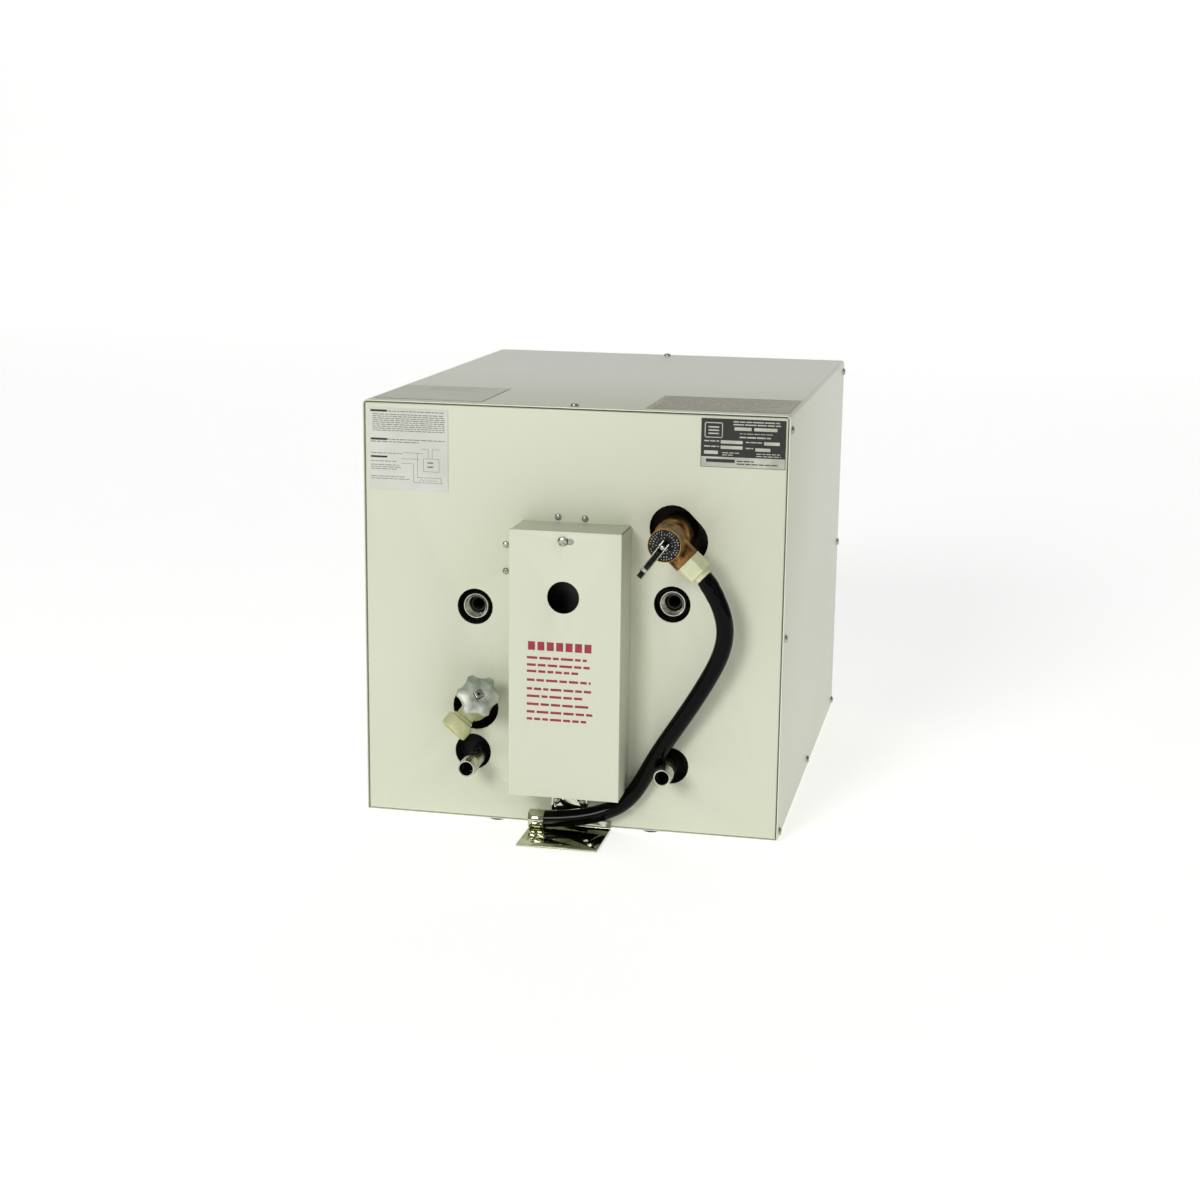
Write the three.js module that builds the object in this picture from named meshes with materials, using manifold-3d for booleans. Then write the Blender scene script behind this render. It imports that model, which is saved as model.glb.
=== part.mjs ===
// Tank water heater: an insulated steel tank in a folded sheet casing, with its ports, valves
// and wiring at the front.
// Millimetres, X to the right, Y to the back, Z up. The origin is on the resting surface, below the
// casing's centre.
import * as THREE from "three";
import { mergeVertices } from "three/addons/utils/BufferGeometryUtils.js";
import Module from "manifold-3d";

const wasm = await Module();
wasm.setup();

// ---- Driving dimensions. Places on the front are x from the casing's centre and z above its underside;
// y is the depth behind the casing's front edge, so it is negative in front of the casing.
const CASE_W = 413;
const CASE_D = 516.4;
const CASE_H = 411.6;
const FOOT_H = 2.5;
const GAP = 0.3; // left between pieces that touch

const SHEET = 1;
const FOLD_R = 4;
const PANEL_INSET = 0.8;
const PANEL_SIDE_GAP = 1.2;
const PANEL_TOP_GAP = 1.6;
const PANEL_FLANGE = 14;
const BASE_FLANGE = 20;

const SIDE_FOAM = 40.5; // casing side to tank
const TOP_FOAM = 33.6; // casing top to tank
const BASE_FOAM = 46; // casing underside to tank
const END_FOAM = 20; // casing front or rear edge to tank
const TANK_WALL = 2;
const HEAD_DEPTH = 22;

// Ports sit on the tank's front head: inset from the tank's rim, and the angle about the tank's axis.
const COLD_PORT = { inset: 71.3, angle: 178.7 };
const HOT_PORT = { inset: 65.6, angle: 8.8 };
const RELIEF_PORT = { inset: 35.64, angle: 39.55 };
const DRAIN_PORT = { inset: 29.8, angle: 226.3 };
const COUPLING_R = 13.5;
const COUPLING_BORE_R = 9.3;
const COUPLING_RECESS = 4;
const COUPLING_REACH = 5; // past the head, inside the tank
const PORT_HOLE_R = 17.8;
const DIP_TUBE_R = 7.5;
const DIP_TUBE_WALL = 1.2;
const DIP_CLEAR = 18; // dip tube's end to the tank wall
const DIP_STEPS = 12;

const EXCHANGER_R = 7.94;
const EXCHANGER_WALL = 1.6;
const EXCHANGER_CLEAR = 1.06; // barrel to exchanger tube
const EXCHANGER_LEFT = 238.35;
const EXCHANGER_RIGHT = 304.9;
const EXCHANGER_REAR = 76; // exchanger's cross run to the casing's rear edge
const EXCHANGER_BEND = 34;
const EXCHANGER_START = 17; // depth of the exchanger's open ends
const EXCHANGER_STEPS = 38;
const BARB_HOLE = { r: 18.2, left: [-5.1, 4.6], right: [0, -0.8] }; // centres are from the barbs
const BARB_ROOT_R = 7.8;
const BARB_BORE_R = 6.9;
const BARB_RIDGE_R = 9;
const BARB_REACH = 43;
const BARB_REAR = 16.5; // depth that the barb goes to

const COVER = { left: -49, right: 59, bottom: 41.5, top: 301.5, depth: 46 };
const COVER_SLIT = 1.3;
const CABLE_HOLE = { x: 3.6, z: 238.5, r: 15.5 };
const SLOT = { x: 2.7, z: 292.1, length: 7.7, r: 3 };
const WIRING_HOLE = { left: -25, right: 35, bottom: 62, top: 275 };
const COVER_SCREW = { head: 4.8, thick: 2.6, shank: 2.3, reach: 9 };
const COVER_STRIP = { half: 10, wall: 1.5 };

const ELEMENT = {
  x: 5, z: 90, spud: 24, bore: 17.2, thread: 16.8, across: 38, fromRear: 76, rod: 4, half: 9,
};
const ELEMENT_DEPTHS = { terminals: -11, head: -3, gasket: 6, socket: 8, thread: 27 };
const THERMOSTAT = { left: -20, right: 30, bottom: 196, top: 262, front: -3, back: 18.5 };
const BUTTON = { x: -8, z: 216, r: 4, out: 3, in: 6, travel: 1.5 };
const DIAL = { x: 15, z: 214, r: 8, thick: 3, pointer: 1, shaft: 3, in: 6 };
const CLIP = { low: 1, high: 7, wing: 12 };
const WIRE_R = 1.4;
const GROUND = { x: -38, z: 130, head: 4.5, shank: 2, front: -3.6 };

const RELIEF = { thread: 13, bore: 9.5, collar: 17.5, barrel: 15.4, chamber: 12.6, height: 56, outlet: 35 };
const RELIEF_DEPTH = 17; // depth that the relief valve's thread goes to
const RELIEF_SEAT = 8; // height of the seat in the relief valve's body
const RELIEF_SPUD_R = 17.3;
const RELIEF_SLOT = { r: 22.5, right: -2.1, up: 5.8, length: 16.5, angle: -45.5 }; // from the valve's axis
const OUTLET_ANGLE = -43.3;
const OUTLET_BOSS = { r: 13.5, reach: 24.8, bore: 9 };
const ADAPTER = { hex: 24.5, flange: 16.5, neck: 9, reach: 46.8, bore: 5 };
const LEVER = { angle: 233.1, length: 36.5, fork: 6.5, width: 7, wall: 1.2, foot: 3, back: 5.2 };
const PIN = { r: 1.3, rise: 5.2, length: 9.4 };
const RELIEF_CAP_R = 14.5;
const STEM_R = 2;
const EYE_R = 3.8;
const SEAT_DISC_R = 11;
const SPRING = { bottom: 14.9, fromTop: 5, turns: 5, perTurn: 10, radius: 8, wire: 1.2 };
const PROBE = { r: 4, reach: 120 };

const DRAIN_HOLE_R = 23;
const DRAIN_AXIS = [0.295, -0.819, 0.492];
const DRAIN_OUTLET = [-0.543, -0.468, -0.698];
const DRAIN = { shank: 9, barrel: 13, mouth: 24, chamber: 8.5, seat: 6, centre: -1.5 };
const CUP = { r: 14.5, bore: 11, start: 18.3, end: 35.5, from: 14, hole: 6.5 };
const KNOB = { tip: 21, scallop: 15.6, valley: 17.2, lobes: 6, base: 41, thick: 8.5, hub: 9.5, hubTop: 51 };
const SPINDLE = { r: 4, square: 6.2, shoulder: 38.6, end: 53 };
const STEM_START = 11;
const BONNET = { across: 13, thick: 7.5, neck: 9 };
const WASHER = { inner: 1.8, r: 7, thick: 2 };

const BRACKET = {
  left: -36, right: 43, reach: 67, sheet: 2, lip: 9, tabLeft: -16.6, tabRight: 19.4, tabTop: 40,
};
const BRACKET_HOLES = [[27, -41], [33, -52], [-20, -42]];
const BRACKET_HOLE_R = 2.6;
const TAB_SCREWS = { x: 1.4, z: 24, half: 13, r: 2.2 };
const FOOT_R = 9;
const FEET = [[-74, 12], [81, 12], [-74, CASE_D - 12], [81, CASE_D - 12]];

const HOSE_R = 8.25;
const STRAP = { wall: 0.8, length: 15.5, clear: 0.3 };
// The hose leaves the adapter, bows to the right and ends in its strap on the front bracket.
const HOSE_ROUTE = [
  [134.9, -35, 262.6],
  [138.4, -35, 259.1],
  [145.9, -34.5, 246],
  [155, -33, 227.2],
  [156.8, -31, 209.7],
  [153.7, -29, 191.9],
  [145.4, -27, 173.7],
  [133.9, -25, 152.8],
  [120, -22, 129.2],
  [102.8, -19, 102.8],
  [86.9, -14.5, 78.6],
  [75.2, -12, 52.8],
  [63.2, -10, 31.2],
  [43.6, -10.8, 20.2],
  [23.9, -12.8, 14.6],
  [2.1, -14.8, 11],
  [-20, -16, 9.4],
  [-35, -16, 9.2],
];

const LABEL = 0.3;
const DATA_LABEL = { fromSide: 6.5, fromTop: 7.6, width: 78.6, height: 79 };
const NAMEPLATE = { fromSide: 3.8, fromTop: 4.9, width: 79.2, height: 45.5 };
const TOP_LABEL = { fromSide: 6.5, width: 108, front: 16, rear: 125 };
const TOP_NOTICE = { fromSide: 3.5, width: 135, front: 15, rear: 115 };

// ---- Worked out
const PANEL_FACE = PANEL_INSET;
const PANEL_BACK = PANEL_FACE + SHEET;
const PANEL_HALF = CASE_W / 2 - SHEET - PANEL_SIDE_GAP;
const PANEL_TOP = CASE_H - SHEET - PANEL_TOP_GAP;
const PANEL_BOTTOM = SHEET + GAP;
const FLANGE_END = PANEL_FACE + PANEL_FLANGE;
const TANK_R = Math.min(CASE_W / 2 - SIDE_FOAM, (CASE_H - TOP_FOAM - BASE_FOAM) / 2);
const TANK_Z = BASE_FOAM + TANK_R;
const TANK_FRONT = END_FOAM;
const TANK_REAR = CASE_D - END_FOAM;
const EXCHANGER_RUN = TANK_R + EXCHANGER_CLEAR + EXCHANGER_R;
const PIN_HEIGHT = RELIEF.height + PIN.rise;

// ---- Fineness of round shapes
const SIDES = 24;
const TANK_SIDES = 36;
const HEAD_STEPS = 5;
const TUBE_SIDES = 8;

// ---- Solids
function toManifold(positions, corners) {
  const mesh = new wasm.Mesh({
    numProp: 3,
    vertProperties: new Float32Array(positions),
    triVerts: new Uint32Array(corners),
  });
  return new wasm.Manifold(mesh);
}

// A closed three.js geometry as a solid with its faces out.
function solid(geometry) {
  const source = geometry.index ? geometry.toNonIndexed() : geometry;
  const bare = new THREE.BufferGeometry();
  bare.setAttribute("position", source.getAttribute("position"));
  const merged = mergeVertices(bare, 1e-4);
  const index = merged.index.array;
  const corners = [];
  for (let i = 0; i < index.length; i += 3) {
    const [a, b, c] = [index[i], index[i + 1], index[i + 2]];
    if (a !== b && b !== c && c !== a) corners.push(a, b, c);
  }
  const positions = merged.attributes.position.array;
  const made = toManifold(positions, corners);
  return made.volume() > 0 ? made : toManifold(positions, corners.reverse());
}

function geometryOf(body) {
  const mesh = body.getMesh();
  const geometry = new THREE.BufferGeometry();
  geometry.setAttribute("position", new THREE.BufferAttribute(mesh.vertProperties, 3));
  geometry.setIndex(new THREE.BufferAttribute(mesh.triVerts, 1));
  geometry.computeVertexNormals();
  return geometry;
}

const join = (...bodies) => bodies.reduce((whole, body) => whole.add(body));
const cut = (body, ...tools) => tools.reduce((rest, tool) => rest.subtract(tool), body);

// A box between two corners.
function block([x0, y0, z0], [x1, y1, z1]) {
  const box = new THREE.BoxGeometry(x1 - x0, y1 - y0, z1 - z0);
  return solid(box.translate((x0 + x1) / 2, (y0 + y1) / 2, (z0 + z1) / 2));
}

// A round or, with few sides, prismatic rod between two points.
function rod(radius, from, to, sides = SIDES) {
  const start = new THREE.Vector3(...from);
  const along = new THREE.Vector3(...to).sub(start);
  const cylinder = new THREE.CylinderGeometry(radius, radius, along.length(), sides);
  const upright = new THREE.Vector3(0, 1, 0);
  const turn = new THREE.Quaternion().setFromUnitVectors(upright, along.clone().normalize());
  const middle = start.clone().addScaledVector(along, 0.5);
  return solid(cylinder.applyQuaternion(turn).translate(middle.x, middle.y, middle.z));
}

// A profile of [radius, height] points turned about Z.
function turned(profile, sides = SIDES) {
  const points = profile.map(([r, z]) => new THREE.Vector2(r, z));
  return solid(new THREE.LatheGeometry(points, sides).rotateX(Math.PI / 2));
}

// A ring about Z, with its outer edges chamfered.
function ring(inner, outer, bottom, top, chamfer = 0, sides = SIDES) {
  const profile = [
    [inner, bottom],
    [outer - chamfer, bottom],
    [outer, bottom + chamfer],
    [outer, top - chamfer],
    [outer - chamfer, top],
    [inner, top],
    [inner, bottom],
  ];
  const apart = ([r, z], i) => !i || r !== profile[i - 1][0] || z !== profile[i - 1][1];
  return turned(profile.filter(apart), sides);
}

function circle(radius, sides) {
  const shape = new THREE.Shape();
  for (let i = 0; i < sides; i++) {
    const angle = (2 * Math.PI * i) / sides;
    shape[i ? "lineTo" : "moveTo"](radius * Math.cos(angle), radius * Math.sin(angle));
  }
  shape.closePath();
  return shape;
}

// A round bar along a curve.
function bar(curve, radius, steps, sides = TUBE_SIDES) {
  const options = { steps, extrudePath: curve, curveSegments: 1, bevelEnabled: false };
  return solid(new THREE.ExtrudeGeometry(circle(radius, sides), options));
}

const curveThrough = (points) =>
  new THREE.CatmullRomCurve3(points.map((p) => new THREE.Vector3(...p)), false, "centripetal");

// An outline in X and Z, made solid from depth y0 to y1.
function plate(shape, y0, y1, curveSegments = 6) {
  const options = { depth: y1 - y0, bevelEnabled: false, curveSegments };
  return solid(new THREE.ExtrudeGeometry(shape, options).rotateX(Math.PI / 2).translate(0, y1, 0));
}

// ---- Places
const degrees = (angle) => (angle * Math.PI) / 180;

// A point on the tank's front, by its distance from the tank's axis and its angle.
function aroundTank(radius, angle) {
  return { x: radius * Math.cos(degrees(angle)), z: TANK_Z + radius * Math.sin(degrees(angle)) };
}

const portPlace = ({ inset, angle }) => aroundTank(TANK_R - inset, angle);

// The depth of the front head's outer face at a distance from the tank's axis.
const headFace = (radius) => TANK_FRONT + HEAD_DEPTH * (1 - Math.sqrt(1 - (radius / TANK_R) ** 2));

const cold = portPlace(COLD_PORT);
const hot = portPlace(HOT_PORT);
const relief = portPlace(RELIEF_PORT);
const drain = portPlace(DRAIN_PORT);
const barbLeft = aroundTank(EXCHANGER_RUN, EXCHANGER_LEFT);
const barbRight = aroundTank(EXCHANGER_RUN, EXCHANGER_RIGHT);
const shifted = ({ x, z }, [right, up]) => ({ x: x + right, z: z + up });
const barbHoleLeft = shifted(barbLeft, BARB_HOLE.left);
const barbHoleRight = shifted(barbRight, BARB_HOLE.right);
const elementRadius = Math.hypot(ELEMENT.x, TANK_Z - ELEMENT.z);

// ---- Finishes
const finish = (color, roughness, metalness) =>
  new THREE.MeshStandardMaterial({ color, roughness, metalness });
const enamel = finish("#d5d8c4", 0.3, 0);
const foam = finish("#1c1d1b", 0.95, 0);
const steel = finish("#b9b8b2", 0.3, 1);
const polished = finish("#d8d8d4", 0.1, 1);
const bronze = finish("#a8793f", 0.4, 1);
const castGrey = finish("#8f9088", 0.5, 0.8);
const nylonWhite = finish("#e6e6dc", 0.45, 0);
const nylonClear = finish("#d9cf8e", 0.35, 0);
const rubber = finish("#121313", 0.35, 0);
const plasticBlack = finish("#17181a", 0.4, 0);
const plasticRed = finish("#b3201c", 0.4, 0);
const paper = finish("#e4e5d8", 0.6, 0);
const platePrint = finish("#1d1e1c", 0.35, 0.2);
const copper = finish("#b5754b", 0.35, 1);
const wireRed = finish("#a12620", 0.5, 0);
const groundGreen = finish("#2f6b3c", 0.5, 0.3);

// ---- Groups: the casing's front edge at its underside, and one for each valve's own axis.
const heater = new THREE.Group();
const body = new THREE.Group();
body.position.set(0, -CASE_D / 2, FOOT_H);
heater.add(body);

function piece(group, name, shape, material) {
  const mesh = new THREE.Mesh(geometryOf(shape), material);
  mesh.name = name;
  group.add(mesh);
  return mesh;
}

// A group whose Z runs out of the front face.
function frontGroup(x, y, z) {
  const group = new THREE.Group();
  group.position.set(x, y, z);
  group.rotation.x = Math.PI / 2;
  body.add(group);
  return group;
}

// ---- Casing
function casingWrap() {
  const half = CASE_W / 2;
  const shape = new THREE.Shape();
  shape.moveTo(half, 0);
  shape.lineTo(half, CASE_H - FOLD_R);
  shape.absarc(half - FOLD_R, CASE_H - FOLD_R, FOLD_R, 0, Math.PI / 2, false);
  shape.lineTo(-half + FOLD_R, CASE_H);
  shape.absarc(-half + FOLD_R, CASE_H - FOLD_R, FOLD_R, Math.PI / 2, Math.PI, false);
  shape.lineTo(-half, 0);
  shape.lineTo(-half + SHEET, 0);
  shape.lineTo(-half + SHEET, CASE_H - FOLD_R);
  shape.absarc(-half + FOLD_R, CASE_H - FOLD_R, FOLD_R - SHEET, Math.PI, Math.PI / 2, true);
  shape.lineTo(half - FOLD_R, CASE_H - SHEET);
  shape.absarc(half - FOLD_R, CASE_H - FOLD_R, FOLD_R - SHEET, Math.PI / 2, 0, true);
  shape.lineTo(half - SHEET, 0);
  shape.closePath();
  return plate(shape, 0, CASE_D, 5);
}

function basePan() {
  const half = CASE_W / 2 - SHEET - GAP;
  const [front, rear] = [FLANGE_END + GAP, CASE_D - FLANGE_END - GAP];
  return join(
    block([-half, PANEL_FACE, 0], [half, CASE_D - PANEL_FACE, SHEET]),
    block([-half, front, 0], [-half + SHEET, rear, BASE_FLANGE]),
    block([half - SHEET, front, 0], [half, rear, BASE_FLANGE]),
  );
}

// A shallow pan with its face at the front: the panel before its holes are cut.
function panelPan() {
  const outside = block([-PANEL_HALF, PANEL_FACE, PANEL_BOTTOM], [PANEL_HALF, FLANGE_END, PANEL_TOP]);
  const inside = block(
    [-PANEL_HALF + SHEET, PANEL_BACK, PANEL_BOTTOM + SHEET],
    [PANEL_HALF - SHEET, FLANGE_END + 1, PANEL_TOP - SHEET],
  );
  return cut(outside, inside);
}

// A round hole through everything from the front to the tank.
const frontHole = ({ x, z }, radius, from = -5, to = TANK_FRONT + 1) =>
  rod(radius, [x, from, z], [x, to, z]);

function reliefSlot(radius, to) {
  const angle = degrees(RELIEF_SLOT.angle);
  const start = shifted(relief, [RELIEF_SLOT.right, RELIEF_SLOT.up]);
  const end = {
    x: start.x + RELIEF_SLOT.length * Math.cos(angle),
    z: start.z + RELIEF_SLOT.length * Math.sin(angle),
  };
  const across = [-Math.sin(angle) * radius, Math.cos(angle) * radius];
  const sides = new THREE.Shape();
  sides.moveTo(start.x + across[0], start.z + across[1]);
  sides.lineTo(end.x + across[0], end.z + across[1]);
  sides.lineTo(end.x - across[0], end.z - across[1]);
  sides.lineTo(start.x - across[0], start.z - across[1]);
  return join(frontHole(start, radius, -5, to), frontHole(end, radius, -5, to), plate(sides, -5, to));
}

function frontPanel() {
  const tabHoles = [-1, 1].map((side) => {
    const place = { x: TAB_SCREWS.x + side * TAB_SCREWS.half, z: TAB_SCREWS.z };
    return frontHole(place, TAB_SCREWS.r, -5, FLANGE_END);
  });
  return cut(
    panelPan(),
    frontHole(cold, PORT_HOLE_R),
    frontHole(hot, PORT_HOLE_R),
    frontHole(drain, DRAIN_HOLE_R),
    frontHole(barbHoleLeft, BARB_HOLE.r),
    frontHole(barbHoleRight, BARB_HOLE.r),
    reliefSlot(RELIEF_SLOT.r, TANK_FRONT),
    block([WIRING_HOLE.left, -5, WIRING_HOLE.bottom], [WIRING_HOLE.right, FLANGE_END, WIRING_HOLE.top]),
    frontHole(GROUND, GROUND.shank + GAP, -5, FLANGE_END),
    ...tabHoles,
  );
}

const rearPanel = () => panelPan().mirror([0, 1, 0]).translate([0, CASE_D, 0]);

// ---- Tank
function headShell() {
  const arc = (radius, depth) =>
    Array.from({ length: HEAD_STEPS + 1 }, (_, i) => {
      const angle = (Math.PI / 2) * (i / HEAD_STEPS);
      return [radius * Math.sin(angle), depth * Math.cos(angle)];
    });
  const outer = arc(TANK_R, HEAD_DEPTH);
  const inner = arc(TANK_R - TANK_WALL, HEAD_DEPTH - TANK_WALL).reverse();
  outer[0][0] = 0;
  inner[HEAD_STEPS][0] = 0;
  return turned([...outer, ...inner], TANK_SIDES);
}

function tankFrontHead() {
  const shell = headShell().rotate([90, 0, 0]).translate([0, TANK_FRONT + HEAD_DEPTH, TANK_Z]);
  const back = TANK_FRONT + HEAD_DEPTH + 1;
  return cut(
    shell,
    frontHole(cold, COUPLING_R + GAP, 0, back),
    frontHole(hot, COUPLING_R + GAP, 0, back),
    frontHole(drain, COUPLING_R + GAP, 0, back),
    frontHole(relief, RELIEF_SPUD_R + GAP, 0, back),
    frontHole(ELEMENT, ELEMENT.spud + GAP, 0, back),
  );
}

const tankRearHead = () => headShell().rotate([-90, 0, 0]).translate([0, TANK_REAR - HEAD_DEPTH, TANK_Z]);

function tankBarrel() {
  const [front, rear] = [TANK_FRONT + HEAD_DEPTH + GAP, TANK_REAR - HEAD_DEPTH - GAP];
  const shell = ring(TANK_R - TANK_WALL, TANK_R, front, rear, 0, TANK_SIDES);
  return shell.rotate([-90, 0, 0]).translate([0, 0, TANK_Z]);
}

// A welded socket: a ring about Y, from a depth in front of the head to a little past it.
function socket({ x, z }, bore, outer, front, radiusOnHead, chamfer = 1) {
  const back = headFace(radiusOnHead) + COUPLING_REACH;
  return ring(bore, outer, front, back, chamfer).rotate([-90, 0, 0]).translate([x, 0, z]);
}

// A tube that enters a coupling and bends to a point near the tank wall.
function dipTube(port, angle) {
  const end = aroundTank(TANK_R - DIP_CLEAR, angle);
  const middle = { x: (port.x + end.x) / 2, z: (port.z + end.z) / 2 };
  const route = curveThrough([
    [port.x, 14, port.z],
    [port.x, 32, port.z],
    [port.x, 50, port.z],
    [middle.x + (port.x - middle.x) / 2, 78, middle.z + (port.z - middle.z) / 2],
    [middle.x + (end.x - middle.x) / 2, 96, middle.z + (end.z - middle.z) / 2],
    [end.x, 100, end.z],
  ]);
  return cut(bar(route, DIP_TUBE_R, DIP_STEPS), bar(route, DIP_TUBE_R - DIP_TUBE_WALL, DIP_STEPS));
}

// Two legs along the barrel's underside, joined by a run round it near the rear.
function exchangerRoute() {
  const run = CASE_D - EXCHANGER_REAR;
  const points = [];
  const leg = ({ x, z }, depths) => depths.forEach((y) => points.push([x, y, z]));
  const [start, end, parts] = [EXCHANGER_START, run - EXCHANGER_BEND, 6];
  const straight = Array.from({ length: parts + 1 }, (_, i) => start + ((end - start) * i) / parts);
  leg(barbLeft, straight);
  const steps = 8;
  for (let i = 1; i < steps; i++) {
    const share = i / steps;
    const { x, z } = aroundTank(EXCHANGER_RUN, EXCHANGER_LEFT + (EXCHANGER_RIGHT - EXCHANGER_LEFT) * share);
    const rise = Math.min(1, 2.2 * Math.sin(Math.PI * share));
    points.push([x, run - EXCHANGER_BEND * (1 - rise), z]);
  }
  leg(barbRight, straight.reverse());
  return curveThrough(points);
}

function heatExchanger() {
  const route = exchangerRoute();
  return cut(
    bar(route, EXCHANGER_R, EXCHANGER_STEPS),
    bar(route, EXCHANGER_R - EXCHANGER_WALL, EXCHANGER_STEPS),
  );
}

// A hose barb that screws to the exchanger, with two ridges near its open end.
function hoseBarb({ x, z }) {
  const bore = EXCHANGER_R - EXCHANGER_WALL - 0.2;
  const tip = BARB_REACH;
  const profile = [
    [bore, -BARB_REAR],
    [BARB_ROOT_R + 1.2, -BARB_REAR],
    [BARB_ROOT_R + 1.2, -7],
    [BARB_ROOT_R, -6],
    [BARB_ROOT_R, tip - 17],
    [BARB_RIDGE_R, tip - 16.5],
    [BARB_ROOT_R + 0.3, tip - 9],
    [BARB_RIDGE_R, tip - 8.5],
    [BARB_ROOT_R + 0.4, tip - 0.4],
    [BARB_ROOT_R + 0.1, tip],
    [BARB_BORE_R, tip],
    [BARB_BORE_R, -4],
    [bore, -5],
    [bore, -BARB_REAR],
  ];
  return turned(profile).rotate([90, 0, 0]).translate([x, 0, z]);
}

// ---- Insulation: two moulded halves round the tank, with ways through to the front.
function insulationBlock(bottom, top) {
  const half = PANEL_HALF - SHEET - GAP;
  const whole = block([-half, PANEL_BACK + GAP, bottom], [half, CASE_D - PANEL_BACK - GAP, top]);
  const tank = rod(TANK_R + GAP, [0, TANK_FRONT - GAP, TANK_Z], [0, TANK_REAR + GAP, TANK_Z], TANK_SIDES);
  const wiring = block(
    [WIRING_HOLE.left - 3, 0, WIRING_HOLE.bottom - 3],
    [WIRING_HOLE.right + 3, TANK_FRONT, WIRING_HOLE.top + 3],
  );
  return cut(
    whole,
    tank,
    wiring,
    frontHole(cold, PORT_HOLE_R + 1),
    frontHole(hot, PORT_HOLE_R + 1),
    frontHole(drain, DRAIN_HOLE_R + 1),
    frontHole(barbHoleLeft, BARB_HOLE.r + 1, -5, 19),
    frontHole(barbHoleRight, BARB_HOLE.r + 1, -5, 19),
    reliefSlot(RELIEF_SLOT.r + 1, TANK_FRONT),
  );
}

function insulationLower() {
  const trough = bar(exchangerRoute(), EXCHANGER_R + 1.5, EXCHANGER_STEPS);
  return cut(insulationBlock(PANEL_BOTTOM + SHEET + GAP, TANK_Z - GAP / 2), trough);
}

const insulationUpper = () => insulationBlock(TANK_Z + GAP / 2, PANEL_TOP - SHEET - GAP);

// ---- Heating element and controls, behind the access cover
function elementHead() {
  const { x, across, half } = ELEMENT;
  const { head, gasket, thread } = ELEMENT_DEPTHS;
  const hex = rod(across / Math.sqrt(3), [x, head, ELEMENT.z], [x, gasket, ELEMENT.z], 6);
  const plug = rod(ELEMENT.thread, [x, gasket - 1, ELEMENT.z], [x, thread, ELEMENT.z]);
  const heights = [-1, 1].map((side) => ELEMENT.z + side * half);
  const ways = heights.map((z) => rod(ELEMENT.rod + GAP, [x, head - 1, z], [x, thread + 1, z], 16));
  return cut(join(hex, plug), ...ways);
}

// A U of sheathed rod, with both ends standing out of its head as terminals.
function heatingElement() {
  const { x, z, half, rod: radius, fromRear } = ELEMENT;
  const length = TANK_REAR - fromRear;
  const bend = new THREE.CatmullRomCurve3(
    Array.from({ length: 9 }, (_, i) => {
      const angle = Math.PI * (i / 8);
      return new THREE.Vector3(x, length + half * Math.sin(angle), z - half * Math.cos(angle));
    }),
  );
  const leg = (side) => {
    const height = z + side * half;
    return rod(radius, [x, ELEMENT_DEPTHS.terminals, height], [x, length + 0.4, height], 12);
  };
  return join(leg(-1), leg(1), bar(bend, radius, 8));
}

function thermostatBody() {
  const { left, right, bottom, top, front, back } = THERMOSTAT;
  const hole = ({ x, z }, radius, depth) =>
    rod(radius + GAP, [x, front - 1, z], [x, front + depth + GAP, z], 16);
  return cut(
    block([left, front, bottom], [right, back, top]),
    hole(BUTTON, BUTTON.r, BUTTON.in + BUTTON.travel),
    hole(DIAL, DIAL.shaft, DIAL.in),
  );
}

// A sprung strip that presses the thermostat against the tank.
function thermostatClip() {
  const { left, right, bottom, front } = THERMOSTAT;
  const face = front - GAP;
  const [low, high] = [bottom + CLIP.low, bottom + CLIP.high];
  const [x0, x1] = [left - CLIP.wing, right + CLIP.wing];
  const rest = PANEL_FACE - GAP;
  return join(
    block([x0, face - SHEET, low], [x1, face, high]),
    block([x0, face - SHEET, low], [x0 + SHEET, rest, high]),
    block([x1 - SHEET, face - SHEET, low], [x1, rest, high]),
  );
}

function resetButton() {
  const { x, z, r } = BUTTON;
  return rod(r, [x, THERMOSTAT.front - BUTTON.out, z], [x, THERMOSTAT.front + BUTTON.in, z], 16);
}

function temperatureDial() {
  const { x, z, r, thick, pointer, shaft } = DIAL;
  const face = THERMOSTAT.front - GAP;
  return join(
    rod(r, [x, face - thick, z], [x, face, z]),
    rod(shaft, [x, face - 1, z], [x, face + DIAL.in, z], 16),
    block([x - pointer, face - thick - pointer, z], [x + pointer, face - 1, z + r - 0.5]),
  );
}

const wire = (points) => bar(curveThrough(points), WIRE_R, 20, 6);

const groundScrew = () =>
  join(
    rod(GROUND.head, [GROUND.x, GROUND.front, GROUND.z], [GROUND.x, PANEL_FACE - GAP, GROUND.z], 6),
    rod(GROUND.shank, [GROUND.x, -1, GROUND.z], [GROUND.x, PANEL_BACK + 0.1, GROUND.z], 12),
  );

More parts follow.
